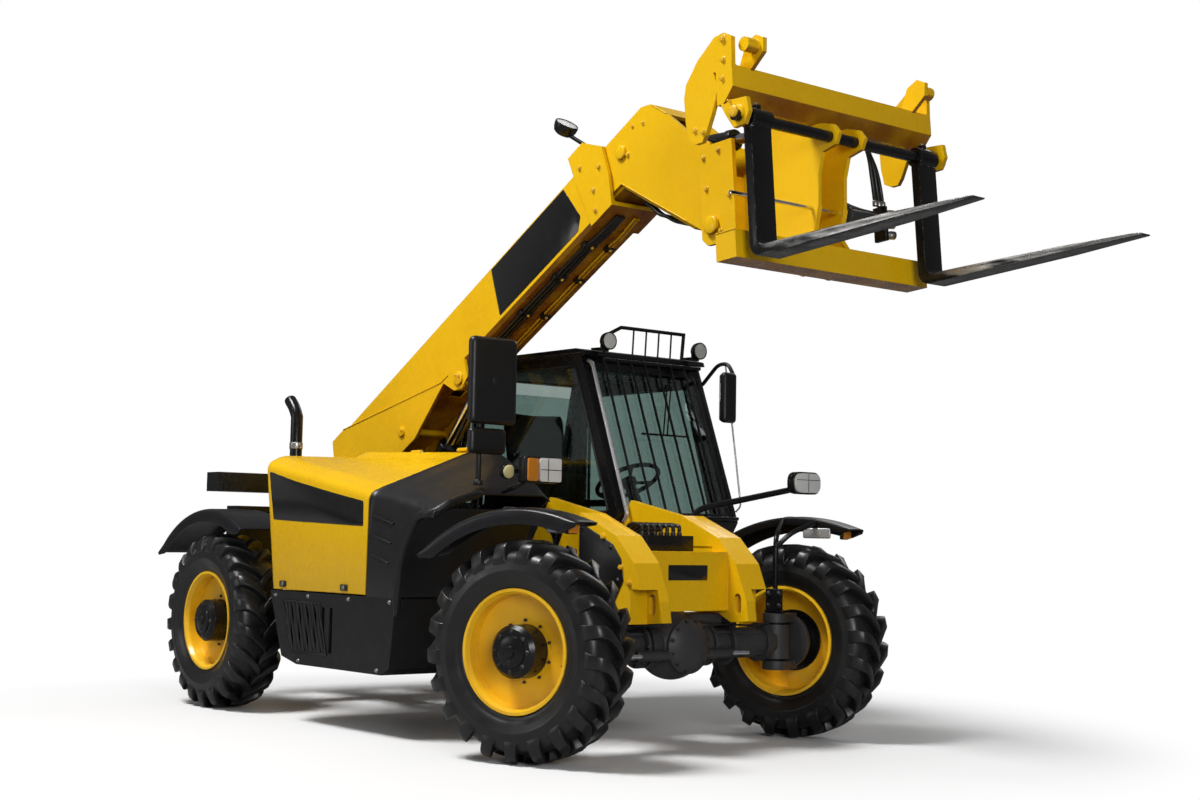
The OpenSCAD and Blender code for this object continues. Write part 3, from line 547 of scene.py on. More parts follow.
class Graph:
    """A node tree in the making. Values that feed it are sockets, numbers or colours."""

    def __init__(self, tree: bpy.types.NodeTree) -> None:
        """Wraps a node tree."""
        self.tree = tree

    @classmethod
    def group(cls, name: str, inputs: Dict[str, Value], outputs: Sequence[str]) -> "Graph":
        """Starts an empty group with its sockets.

        Args:
            name: The group's name.
            inputs: The default of each input, which also tells its kind.
            outputs: The outputs, each as its name and its kind with a colon between.

        Returns:
            The group, with its input sockets in given and its output sockets in out.
        """
        made = cls(bpy.data.node_groups.new(name, "ShaderNodeTree"))
        for label, value in inputs.items():
            kind = "NodeSocketColor" if isinstance(value, tuple) else "NodeSocketFloat"
            made.feed(made.tree.interface.new_socket(label, in_out="INPUT", socket_type=kind), value)
        for output in outputs:
            label, kind = output.split(":")
            made.tree.interface.new_socket(label, in_out="OUTPUT", socket_type=f"NodeSocket{kind}")
        made.given = made.tree.nodes.new("NodeGroupInput").outputs
        made.out = made.tree.nodes.new("NodeGroupOutput").inputs
        return made

    def feed(self, socket: Socket, value: Value) -> None:
        """Links a value to an input, or sets the input's own number or colour.

        Args:
            socket: The input.
            value: What feeds it.
        """
        if isinstance(value, Socket):
            self.tree.links.new(value, socket)
        else:
            wide = isinstance(value, tuple) and len(socket.default_value) > len(value)
            socket.default_value = (*value, 1.0) if wide else value

    def node(self, kind: str, inputs: Optional[Dict[object, Value]] = None,
             **settings: object) -> bpy.types.Node:
        """Adds a node.

        Args:
            kind: The node's kind.
            inputs: What feeds its inputs, by name or number.
            settings: Its properties.

        Returns:
            The new node.
        """
        node = self.tree.nodes.new(f"ShaderNode{kind}")
        for name, setting in settings.items():
            setattr(node, name, setting)
        for name, value in (inputs or {}).items():
            self.feed(node.inputs[name], value)
        return node

    def use(self, group: bpy.types.NodeTree, inputs: Dict[str, Value]) -> Sockets:
        """Adds a shared group and returns its outputs."""
        return self.node("Group", inputs, node_tree=group).outputs

    def coords(self) -> Socket:
        """Returns the object's own coordinates."""
        return self.node("TexCoord").outputs["Object"]

    def axes(self, vector: Socket) -> Sockets:
        """Returns the X, Y and Z of a vector."""
        return self.node("SeparateXYZ", {0: vector}).outputs

    def noise(self, coords: Socket, scale: Value, detail: float) -> Socket:
        """Adds a noise texture and returns its factor."""
        return self.node("TexNoise", {"Vector": coords, "Scale": scale, "Detail": detail}).outputs["Fac"]

    def calc(self, kind: str, *values: Value, clamp: bool = False) -> Socket:
        """Adds a math node and returns its value."""
        return self.node("Math", dict(enumerate(values)), operation=kind, use_clamp=clamp).outputs[0]

    def product(self, *values: Value, clamp: bool = False) -> Socket:
        """Multiplies values.

        Args:
            values: Two values or more.
            clamp: Whether the last product is kept within 0..1.

        Returns:
            The product.
        """
        result = values[0]
        for value in values[1:]:
            result = self.calc("MULTIPLY", result, value, clamp=clamp and value is values[-1])
        return result

    def span(self, value: Socket, low: float, high: float, start: float = 0, end: float = 1) -> Socket:
        """Maps low..high of a value smoothly to start..end and returns it."""
        inputs = {"Value": value, "From Min": low, "From Max": high, "To Min": start, "To Max": end}
        return self.node("MapRange", inputs, interpolation_type="SMOOTHSTEP").outputs["Result"]

    def mix(self, factor: Value, first: Value, second: Value) -> Socket:
        """Mixes two colours; the numbers are those of the node's sockets for colours.

        Args:
            factor: The second colour's share.
            first: The first colour.
            second: The second colour.

        Returns:
            The mixed colour.
        """
        node = self.node("Mix", data_type="RGBA")
        for number, value in ((0, factor), (6, first), (7, second)):
            self.feed(node.inputs[number], value)
        return node.outputs[2]


class Groups:
    """The shader groups that the finishes share, each made once."""

    @staticmethod
    @cache
    def weathering() -> bpy.types.NodeTree:
        """Makes the group for colour: two tones, worn edges, painted shade on downward faces and settled
        dust.

        Returns:
            The group.
        """
        g = Graph.group("weathering", {
            "Colour": WHITE, "Shade": WHITE, "Bare": WHITE, "Dust": WHITE, "Wear Amount": 0.0,
            "Dust Amount": 0.0, "Mottle Amount": 0.3, "Grime": WHITE, "Grime Amount": 0.0,
        }, ["Colour:Color", "Wear:Float"])
        coords, normal = g.coords(), g.node("NewGeometry").outputs["Normal"]
        cloud = g.span(g.noise(coords, 2.3, 4), 0.35, 0.7)
        tone = g.mix(g.product(cloud, g.given["Mottle Amount"]), g.given["Colour"], g.given["Shade"])
        rounded = g.node("Bevel", {"Radius": 0.005}, samples=4).outputs["Normal"]
        turned = g.node("VectorMath", {0: rounded, 1: normal}, operation="DOT_PRODUCT").outputs["Value"]
        chips = g.span(g.noise(coords, 34, 5), 0.5, 0.62)
        worn = g.product(g.span(turned, 0.97, 0.80), chips, g.given["Wear Amount"], clamp=True)
        facing = g.axes(normal)["Z"]
        # Painted shade: faces turned downwards are darkened to a brown, patchy by noise, in place of the
        # shadow under the boom and beams.
        streak = g.span(g.noise(coords, 5, 5), 0.25, 0.65, 0.7, 1.0)
        painted_shade_mask = g.product(g.span(facing, -0.2, -0.7), streak, g.given["Grime Amount"], clamp=True)
        low = g.span(g.axes(coords)["Z"], 1.1, 0.15)
        film = g.span(g.noise(coords, 9, 5), 0.38, 0.72)
        laid = g.calc("MAXIMUM", g.span(facing, 0.1, 0.95), low)
        dusty = g.product(laid, film, g.given["Dust Amount"], clamp=True)
        # Worn edges, then the painted shade underneath, then dust.
        worn_and_shaded = g.mix(painted_shade_mask, g.mix(worn, tone, g.given["Bare"]), g.given["Grime"])
        g.feed(g.out["Colour"], g.mix(dusty, worn_and_shaded, g.given["Dust"]))
        g.feed(g.out["Wear"], worn)
        return g.tree

    @staticmethod
    @cache
    def relief() -> bpy.types.NodeTree:
        """Makes the group for the surface's normal: rounded edges, waviness and grain.

        Returns:
            The group.
        """
        g = Graph.group("relief", {"Edge Radius": 0.003, "Grain Scale": 400.0, "Grain Height": 0.1,
                                   "Wave Scale": 12.0, "Wave Height": 0.1}, ["Normal:Vector"])
        coords = g.coords()
        normal = g.node("Bevel", {"Radius": g.given["Edge Radius"]}, samples=4).outputs["Normal"]
        for kind, distance in (("Wave", 0.004), ("Grain", 0.0006)):
            height = g.noise(coords, g.given[f"{kind} Scale"], 2)
            normal = g.node("Bump", {"Distance": distance, "Strength": g.given[f"{kind} Height"],
                                     "Height": height, "Normal": normal}).outputs["Normal"]
        g.feed(g.out["Normal"], normal)
        return g.tree

    @staticmethod
    @cache
    def gloss() -> bpy.types.NodeTree:
        """Makes the group for roughness: patchy between two values, dull where worn.

        Returns:
            The group.
        """
        g = Graph.group("gloss", {"Low": 0.3, "High": 0.5, "Wear": 0.0}, ["Roughness:Float"])
        patch = g.span(g.noise(g.coords(), 14, 5), 0.3, 0.75)
        gap = g.calc("SUBTRACT", g.given["High"], g.given["Low"])
        value = g.calc("ADD", g.given["Low"], g.product(gap, patch))
        g.feed(g.out["Roughness"], g.calc("ADD", value, g.product(g.given["Wear"], 0.15), clamp=True))
        return g.tree

    @staticmethod
    @cache
    def scuffs() -> bpy.types.NodeTree:
        """Makes the group for a mask of bare steel and painted highlight on upper faces and blade sides.

        Returns:
            The group.
        """
        g = Graph.group("scuffs", {"Amount": 0.8}, ["Mask:Float"])
        coords, facing = g.coords(), g.axes(g.node("NewGeometry").outputs["Normal"])
        # Upper faces, and the sides from about 1.8 m forward, take the mask: partly worn steel, partly a
        # painted highlight.
        ahead = g.span(g.axes(coords)["X"], 1.74, 1.86)
        side = g.span(g.calc("ABSOLUTE", facing["Y"]), 0.8, 0.95)
        top = g.calc("MAXIMUM", g.span(facing["Z"], 0.75, 0.95), g.product(side, ahead))
        stretched = g.node("Mapping", {"Vector": coords, "Scale": (0.6, 9, 3)}).outputs["Vector"]
        streaks = g.span(g.noise(stretched, 6, 6), 0.34, 0.58)
        g.feed(g.out["Mask"], g.product(top, streaks, g.given["Amount"], clamp=True))
        return g.tree


# ---- finishes


@dataclass(frozen=True)
class Finish:
    """A surface finish: two tones, gloss, relief, worn edges, painted shade underneath and dust."""

    name: str
    colour: Colour
    shade: Colour
    gloss: Tuple[float, float] = (0.3, 0.45)
    metallic: float = 0.0
    coat: float = 0.0
    mottle: float = 0.35
    wear: float = 0.0
    bare: Colour = (0.32, 0.31, 0.30)
    dust: float = 0.0
    dust_colour: Colour = (0.36, 0.32, 0.27)
    edge: float = 3.0
    grain: Tuple[float, float] = (420.0, 0.08)
    wave: Tuple[float, float] = (9.0, 0.05)
    # Bare steel on tops and blade sides, partly wear and partly a painted highlight.
    scuffed_and_lit: float = 0.0
    specular: float = 0.5
    # Painted shade: how far faces turned downwards are darkened, and the brown they are darkened to.
    grime: float = 0.0
    painted_shade_colour: Colour = (0.20, 0.060, 0.008)

    def material(self) -> bpy.types.Material:
        """Makes the finish's material on first use.

        Returns:
            The material.
        """
        found = bpy.data.materials.get(self.name)
        if found:
            return found
        made = bpy.data.materials.new(self.name)
        made.use_nodes = True
        self.wire(Graph(made.node_tree), made.node_tree.nodes["Principled BSDF"].inputs)
        return made

    def tones(self, g: Graph, shader: Sockets) -> Sockets:
        """Feeds the shader's roughness and returns the outputs of the group for colour.

        Args:
            g: The material's nodes.
            shader: The shader's inputs.

        Returns:
            The group's outputs.
        """
        # The last two inputs paint shade, a dark brown, on faces turned downwards.
        tone = g.use(Groups.weathering(), {
            "Colour": self.colour, "Shade": self.shade, "Bare": self.bare, "Dust": self.dust_colour,
            "Wear Amount": self.wear, "Dust Amount": self.dust, "Mottle Amount": self.mottle,
            "Grime": self.painted_shade_colour, "Grime Amount": self.grime})
        gloss = g.use(Groups.gloss(), {"Low": self.gloss[0], "High": self.gloss[1], "Wear": tone["Wear"]})
        g.feed(shader["Roughness"], gloss["Roughness"])
        return tone

    def wire(self, g: Graph, shader: Sockets) -> None:
        """Builds the material from the shared groups.

        Args:
            g: The material's nodes.
            shader: The shader's inputs.
        """
        shader["Metallic"].default_value = self.metallic
        shader["Coat Weight"].default_value = self.coat
        shader["Coat Roughness"].default_value = 0.06
        shader["Specular IOR Level"].default_value = self.specular
        colour = self.tones(g, shader)["Colour"]
        relief = g.use(Groups.relief(), {
            "Edge Radius": self.edge * MM, "Grain Scale": self.grain[0], "Grain Height": self.grain[1],
            "Wave Scale": self.wave[0], "Wave Height": self.wave[1]})
        g.feed(shader["Normal"], relief["Normal"])
        # Bare, metallic steel on tops and blade sides: partly wear, partly a painted highlight.
        if self.scuffed_and_lit:
            worn_and_lit = g.use(Groups.scuffs(), {"Amount": self.scuffed_and_lit})["Mask"]
            colour = g.mix(worn_and_lit, colour, self.bare)
            g.feed(shader["Metallic"], worn_and_lit)
        g.feed(shader["Base Color"], colour)


@dataclass(frozen=True)
class Glass(Finish):
    """Clear or tinted glass, with a faint film on it."""

    clear: float = 1.0
    ribs: float = 0.0

    def wire(self, g: Graph, shader: Sockets) -> None:
        """Builds the glass material.

        Args:
            g: The material's nodes.
            shader: The shader's inputs.
        """
        shader["Transmission Weight"].default_value = self.clear
        shader["IOR"].default_value = 1.45
        g.feed(shader["Base Color"], self.tones(g, shader)["Colour"])
        if self.ribs:
            wave = g.node("TexWave", {"Vector": g.coords(), "Scale": self.ribs}, bands_direction="Y")
            bump = g.node("Bump", {"Distance": 0.0008, "Height": wave.outputs["Fac"]})
            g.feed(shader["Normal"], bump.outputs["Normal"])


# Yellow paint takes the full painted shade: its downward faces turn dark brown as if in shadow.
YELLOW = Finish(
    "machine_yellow", (0.85, 0.5, 0.004), (0.78, 0.43, 0.003), (0.24, 0.34), coat=0.06, mottle=0.45, wear=0.3,
    bare=(0.3, 0.2, 0.1), dust=0.04, dust_colour=(0.5, 0.32, 0.08), grain=(240.0, 0.015), wave=(7.0, 0.03),
    specular=0.25, grime=1.0)
WHEEL_YELLOW = Finish(
    "wheel_yellow", (0.97, 0.56, 0.016), (0.86, 0.44, 0.01), (0.26, 0.38), coat=0.15, mottle=0.7, wear=0.5,
    bare=(0.2, 0.11, 0.05), dust=0.18, dust_colour=(0.36, 0.2, 0.05), grain=(260.0, 0.04), specular=0.35)
BLACK = Finish(
    "frame_black", (0.0055, 0.0055, 0.0065), (0.01, 0.01, 0.011), (0.22, 0.34), wear=0.4,
    bare=(0.1, 0.095, 0.09), dust=0.05, dust_colour=(0.03, 0.028, 0.026), grain=(300.0, 0.04), specular=0.35)
COVER = Finish(
    "cover_plastic", (0.006, 0.006, 0.0072), (0.0085, 0.0085, 0.01), (0.36, 0.44), wear=0.1,
    bare=(0.06, 0.06, 0.063), dust=0.04, dust_colour=(0.03, 0.028, 0.027), edge=8.0, grain=(700.0, 0.08),
    wave=(5.0, 0.015))
GUARD = Finish(
    "guard_plastic", (0.0065, 0.0065, 0.008), (0.011, 0.011, 0.013), (0.28, 0.38), wear=0.15,
    bare=(0.06, 0.06, 0.06), dust=0.05, dust_colour=(0.035, 0.033, 0.031), edge=4.0, grain=(600.0, 0.1),
    specular=0.4)
SKIRT = Finish(
    "skirt_plastic", (0.008, 0.008, 0.0095), (0.013, 0.013, 0.0145), (0.36, 0.5), wear=0.25,
    bare=(0.06, 0.06, 0.06), dust=0.08, dust_colour=(0.04, 0.038, 0.035), edge=8.0, grain=(900.0, 0.3),
    specular=0.35)
CAST = Finish(
    "cast_axle", (0.046, 0.046, 0.049), (0.026, 0.026, 0.028), (0.38, 0.58), metallic=0.2, wear=0.4,
    bare=(0.2, 0.19, 0.18), dust=0.22, dust_colour=(0.09, 0.08, 0.07), edge=5.0, grain=(180.0, 0.5))
RUBBER = Finish(
    "tread_rubber", (0.0085, 0.0085, 0.0088), (0.015, 0.015, 0.0152), (0.28, 0.42), wear=0.7, mottle=0.6,
    bare=(0.045, 0.045, 0.048), dust=0.1, dust_colour=(0.035, 0.033, 0.031), edge=2.0, grain=(300.0, 0.2),
    wave=(26.0, 0.08))
CHROME = Finish(
    "polished_rod", (0.72, 0.73, 0.75), (0.62, 0.63, 0.65), (0.08, 0.16), metallic=1.0, mottle=0.3, dust=0.05,
    grain=(900.0, 0.03))
ZINC = Finish(
    "plated_steel", (0.46, 0.45, 0.42), (0.34, 0.32, 0.28), (0.28, 0.45), metallic=1.0, mottle=0.6, wear=0.4,
    bare=(0.24, 0.16, 0.1), dust=0.2, grain=(500.0, 0.12))
NUTS = Finish(
    "black_bolts", (0.03, 0.029, 0.029), (0.055, 0.045, 0.036), (0.3, 0.45), metallic=0.6, mottle=0.6,
    wear=0.8, bare=(0.3, 0.28, 0.26), dust=0.15, dust_colour=(0.1, 0.08, 0.06), grain=(500.0, 0.12))
PAINTED_BOLTS = Finish(
    "painted_bolts", (0.8, 0.46, 0.008), (0.66, 0.35, 0.008), (0.3, 0.45), coat=0.3, mottle=0.6, wear=0.9,
    bare=(0.25, 0.18, 0.12), dust=0.15, dust_colour=(0.26, 0.16, 0.06), edge=1.5)
# The forks' bare steel on tops and blade sides is partly wear and partly a painted highlight.
FORK = Finish(
    "fork_black", (0.0055, 0.0055, 0.006), (0.011, 0.01, 0.01), (0.2, 0.36), wear=1.0, mottle=0.5,
    bare=(0.6, 0.59, 0.57), dust=0.02, edge=2.5, grain=(220.0, 0.15), scuffed_and_lit=0.85, specular=0.3)
SEAT = Finish(
    "seat_vinyl", (0.014, 0.014, 0.015), (0.022, 0.022, 0.023), (0.42, 0.55), mottle=0.5, edge=6.0,
    grain=(850.0, 0.8), dust=0.08, dust_colour=(0.06, 0.06, 0.06))
DECAL = Finish(
    "plain_vinyl", (0.0045, 0.0045, 0.005), (0.007, 0.007, 0.0075), (0.16, 0.26), coat=0.3, mottle=0.4,
    dust=0.05, dust_colour=(0.05, 0.047, 0.044), edge=0.5, grain=(600.0, 0.05))
PALE = Finish(
    "pale_vinyl", (0.62, 0.6, 0.54), (0.5, 0.48, 0.43), (0.25, 0.4), mottle=0.5, dust=0.2, edge=0.5)
SEAL = Finish(
    "seal_rubber", (0.006, 0.006, 0.0065), (0.01, 0.01, 0.0105), (0.45, 0.6), edge=2.0, grain=(700.0, 0.3))
HOSE = Finish(
    "hose_rubber", (0.0065, 0.0065, 0.007), (0.012, 0.0115, 0.011), (0.32, 0.48), dust=0.12,
    dust_colour=(0.06, 0.05, 0.045), edge=1.5, grain=(900.0, 0.4))
RAIL = Finish(
    "rail_grey", (0.62, 0.63, 0.65), (0.5, 0.51, 0.53), (0.22, 0.32), metallic=0.6, mottle=0.4, wear=0.3,
    dust=0.1, grain=(500.0, 0.1))
INNER = Finish(
    "cab_lining", (0.01, 0.01, 0.012), (0.016, 0.016, 0.018), (0.55, 0.7), grain=(700.0, 0.6), edge=5.0)
MIRROR = Finish(
    "mirror_face", (0.8, 0.82, 0.84), (0.74, 0.76, 0.78), (0.02, 0.05), metallic=1.0, mottle=0.4,
    grain=(100.0, 0.0), wave=(2.0, 0.0))
REFLECTOR = Finish(
    "reflector", (0.88, 0.88, 0.86), (0.78, 0.78, 0.76), (0.12, 0.22), metallic=0.3, mottle=0.4,
    grain=(60.0, 0.03), wave=(24.0, 0.05))
WINDOW = Glass(
    "cab_window", (0.42, 0.53, 0.5), (0.38, 0.49, 0.46), (0.0, 0.03), mottle=0.5, dust=0.03,
    dust_colour=(0.4, 0.42, 0.4))
# The lens is only partly clear and near white: a painted brightness standing in for the lit reflector behind
# it.
LENS = Glass(
    "clear_lens", (0.98, 0.98, 0.96), (0.93, 0.94, 0.93), (0.04, 0.1), mottle=0.4, clear=0.3, ribs=9.0)
AMBER = Glass(
    "amber_lens", (0.95, 0.34, 0.02), (0.85, 0.26, 0.015), (0.1, 0.2), mottle=0.4, clear=0.3, ribs=20.0)
STRAW = Glass(
    "pale_lens", (0.98, 0.86, 0.42), (0.92, 0.78, 0.32), (0.1, 0.2), mottle=0.4, clear=0.3, ribs=20.0)
RED = Glass(
    "red_lens", (0.75, 0.02, 0.015), (0.6, 0.015, 0.01), (0.1, 0.2), mottle=0.4, clear=0.3, ribs=20.0)


CORNERS = tuple(corner_name(reach, hand) for reach in Reach for hand in Hand)


@dataclass(frozen=True)
class CadFinishes:
    """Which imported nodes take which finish; all the others are black."""

    yellow: Tuple[str, ...] = ("chassis_frame", "cross_members", "boom_outer", "boom_inner", "fork_carriage")
    wheels: Tuple[str, ...] = tuple(f"rim_{name}" for name in CORNERS)
    cast: Tuple[str, ...] = ("front_axle", "rear_axle", *(f"knuckle_{name}" for name in CORNERS))
    skirt: Tuple[str, ...] = ("side_skirt",)
    glass: Tuple[str, ...] = ("cab_glass", "door_glass")
    chrome: Tuple[str, ...] = ("lift_rod", "tilt_rod")

    def apply(self) -> None:
        """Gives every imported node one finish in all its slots."""
        pairs = ((self.yellow, YELLOW), (self.wheels, WHEEL_YELLOW), (self.cast, CAST), (self.skirt, SKIRT),
                 (self.glass, WINDOW), (self.chrome, CHROME))
        named = {name: finish for names, finish in pairs for name in names}
        for name, item in frame["nodes"].items():
            made = named.get(name, BLACK).material()
            if not item.material_slots:
                item.data.materials.append(made)
            for slot in item.material_slots:
                slot.material = made


@dataclass
class Assembly:
    """A sub-assembly of the machine, which builds its own pieces."""

    layout: Layout

    def place(self) -> Matrix:
        """Returns the frame that its pieces are built in: the vehicle's, if it has none of its own."""
        return self.layout.vehicle()

    def piece(self, name: str, finish: Finish) -> Shape:
        """Starts a piece in that frame."""
        return Shape(name, self.place(), finish)


@dataclass
class CornerPart(Assembly):
    """What sits at one of the machine's four corners."""

    reach: Reach
    hand: Hand

    @property
    def tag(self) -> str:
        """Returns the corner's part of every name."""
        return corner_name(self.reach, self.hand)


# ---- wheels


@dataclass
class Wheel(CornerPart):
    """A wheel's tyre with its lugs, and the nuts, cover bolts and valve on its rim."""

    bead: float = 263
    lugs: int = 21
    lug_width: float = 50
    nuts: int = 10
    nut_ring: float = 136
    cover_bolts: int = 8
    cover_ring: float = 86

    def place(self) -> Matrix:
        """Returns the wheel's frame."""
        return self.layout.wheel(self.reach, self.hand)

    def carcass(self) -> List[Flat]:
        """Draws the tyre's section.

        Returns:
            The section as radius and distance from the tyre's middle plane.
        """
        side = [(self.bead, 104), (268, 108), (277, 111.5), (282, 119), (289, 121), (296, 122), (303, 128),
                (322, 138), (345, 145), (350, 147.5), (356, 147.8), (360, 146.4), (378, 145.5), (398, 141),
                (416, 133), (430, 121), (440, 104), (446, 78), (449, 40)]
        return side + [(450, 0)] + [(r, -z) for r, z in reversed(side)]

    def tyre(self) -> None:
        """Builds the tyre: two rows of lugs, half a pitch apart, on a turned carcass."""
        shape = self.piece(f"tyre_tread_{self.tag}", RUBBER)
        section = self.carcass()
        shape.grid([[(*polar(r, a), z) for r, z in section] for a in spokes(108)], around=True, loop=True)
        for side, shift in ((1, 0), (-1, 0.5)):
            for start in spokes(self.lugs, shift):
                self.lug(shape, start, side)
        shape.make(Slot.TYRE, f"wheel_{self.tag}", bevel=3.2, replaces=f"tyre_{self.tag}")

    def lug(self, shape: Shape, start: float, side: int) -> None:
        """Adds one lug, which widens and turns back from the middle of the tread to the shoulder.

        Args:
            shape: The tyre.
            start: Its angle at the middle of the tread, in radians.
            side: +1 for the outboard row, -1 for the inboard row.
        """
        # Top radius, base radius, where top and base lie off the middle plane, and turn in degrees.
        stations = [(489.6, 440, -12, -12, 0.0), (489.8, 442, 14, 14, 3.8), (489.6, 440, 46, 44, 7.6),
                    (488.5, 436, 74, 68, 10.4), (484.5, 428, 101, 88, 12.2), (475.0, 416, 124, 102, 13.2),
                    (458.0, 402, 137, 112, 13.7), (436.0, 388, 144.5, 122, 14.1),
                    (417.0, 378, 148.8, 130, 14.4), (400.0, 372, 148.8, 138, 14.6)]
        rows = []
        for i, (top, base, top_off, base_off, turn) in enumerate(stations):
            share = i / (len(stations) - 1)
            half = self.lug_width * (0.86 + 0.42 * share) / 2
            middle = start - math.radians(turn)
            across, spread = half / top, (half + 6) / base
            corners = ((base, -spread, base_off), (top, -across, top_off), (top, across, top_off),
                       (base, spread, base_off))
            rows.append([(*polar(r, middle + away), side * off) for r, away, off in corners])
        shape.grid(rows, around=True, caps=True, soft=False)

    def fittings(self) -> None:
        """Builds the wheel nuts, the hub's cover bolts, its plug and the valve."""
        shape = self.piece(f"wheel_fittings_{self.tag}", NUTS)
        for a in spokes(self.nuts, 0.5):
            at = (*polar(self.nut_ring, a), 7)
            shape.bolt(at, Z, 24)
            shape.turned([(7, 8), (7, 30), (5, 32)], at, Z, steps=12)
        for a in spokes(self.cover_bolts):
            shape.bolt((*polar(self.cover_ring, a), 138), Z, 13)
        plug = [(70, 136), (70, 143), (62, 147), (26, 148), (24, 156), (12, 157)]
        shape.turned(plug, (0, 0, 0), Z, BLACK, 40)
        shape.bolt((0, 45, 147), Z, 17)
        shape.pipe([(236, 60, 40), (226, 57, 46), (214, 54, 62)], 3.5, 8)
        shape.make(Slot.AXLE, f"wheel_{self.tag}")

    def build(self) -> None:
        """Builds the wheel's pieces."""
        self.tyre()
        self.fittings()


# ---- mudguards


@dataclass
class Mudguard(CornerPart):
    """A mudguard with a crowned section and rolled lips, what holds it, and its marker lamp."""

    radius: float = 835
    drop: float = 203
    ahead: float = 17

    def place(self) -> Matrix:
        """Returns the knuckle's frame at the front, and the vehicle's, mirrored, at the rear."""
        front = self.reach is Reach.FRONT
        return self.layout.knuckle(self.reach, self.hand) if front else self.layout.mirrored(self.hand)

    def extent(self) -> Tuple[float, float, float, float]:
        """Returns the guard's inner and outer edge and its first and last angle."""
        return (160, 330, 68, 132) if self.reach is Reach.FRONT else (740, 1055, 60, 136)

    def section(self) -> List[Flat]:
        """Draws the guard's section, from its inner lip to its outer one.

        Returns:
            The section as distance outboard and height over the guard's radius.
        """
        y0, y1 = self.extent()[:2]
        raw = [(y0 + 2, -46), (y0, -6), (y0 + 18, -3), ((y0 + y1) / 2, 0), (y1 - 24, -2), (y1, -14),
               (y1 + 1, -76)]
        return fillet(raw, [0, 12, 60, 60, 60, 26, 0], 5)

    def shell(self) -> None:
        """Builds the guard, whose crown fades out at its two ends."""
        front = self.reach is Reach.FRONT
        middle, level = (self.ahead, -self.drop) if front else (self.ahead - AXLE_X, WHEEL_Z - self.drop)
        first, last = self.extent()[2:]
        shape = self.piece(f"mudguard_{self.tag}", GUARD)
        steps, rows = 40, []
        for i in range(steps + 1):
            angle = math.radians(first + (last - first) * i / steps)
            fade = 0.35 + 0.65 * min(1.0, min(i, steps - i) / 2.5)
            ring = [(y, polar(self.radius + h * fade, angle)) for y, h in self.section()]
            rows.append([(middle + x, y, level + z) for y, (x, z) in ring])
        shape.grid(rows)
        shape.make(Slot.PLASTIC, f"knuckle_{self.tag}" if front else "chassis", shell=6, bevel=1.5,
                   replaces=f"front_mudguard_{self.hand.name.lower()}" if front else "rear_mudguards")

    def stays(self) -> None:
        """Builds a front guard's stays, bracket and marker lamp."""
        shape = self.piece(f"mudguard_stay_{self.tag}", BLACK)
        edge, top = self.extent()[0], self.radius - self.drop
        shape.pipe([(0, -5, 145), (0, -5, 525), (-60, edge + 30, top - 12), (-62, 310, top - 12)], 13, 60)
        shape.pipe([(0, -5, 470), (60, 40, 545), (150, edge + 15, top - 24), (166, 300, top - 30)], 13, 60)
        shape.box((-52, -20, 141), (52, 12, 156))
        shape.box((-45, -24, 150), (45, -8, 262))
        for x in (-30, 30):
            for z in (178, 238):
                shape.bolt((x, -24, z), (0, -1, 0), 16, NUTS)
                shape.bolt((x, -8, z), Y, 16, NUTS)
        shape.pad((246, 215, 516), (262, 300, 566), 8)
        shape.pad((262, 220, 520), (276, 295, 562), 8, AMBER)
        shape.pad((66, edge - 2, top - 112), (222, edge + 12, top - 58), 10, RAIL, "Y")
        shape.make(Slot.BLACK, f"knuckle_{self.tag}", bevel=1.5)

    def struts(self) -> None:
        """Builds a rear guard's strut, its braces and their bolts."""
        shape = self.piece(f"mudguard_strut_{self.tag}", BLACK)
        shape.box((-1460, 281, 1085), (-1340, 760, 1110))
        shape.box((-1452, 700, 1085), (-1348, 990, 1098))
        for x in (-1440, -1360):
            shape.bolt((x, 310, 1110), Z, 18, ZINC)
            for y in (780, 960):
                shape.bolt((x, y, 1085), DOWN, 14, ZINC)
        shape.pipe([(-1350, 300, 990), (-1350, 560, 1080)], 11, 10)
        shape.make(Slot.BLACK, bevel=2)

    def build(self) -> None:
        """Builds the guard and what holds it."""
        self.shell()
        if self.reach is Reach.FRONT:
            self.stays()
        else:
            self.struts()


# ---- engine pod


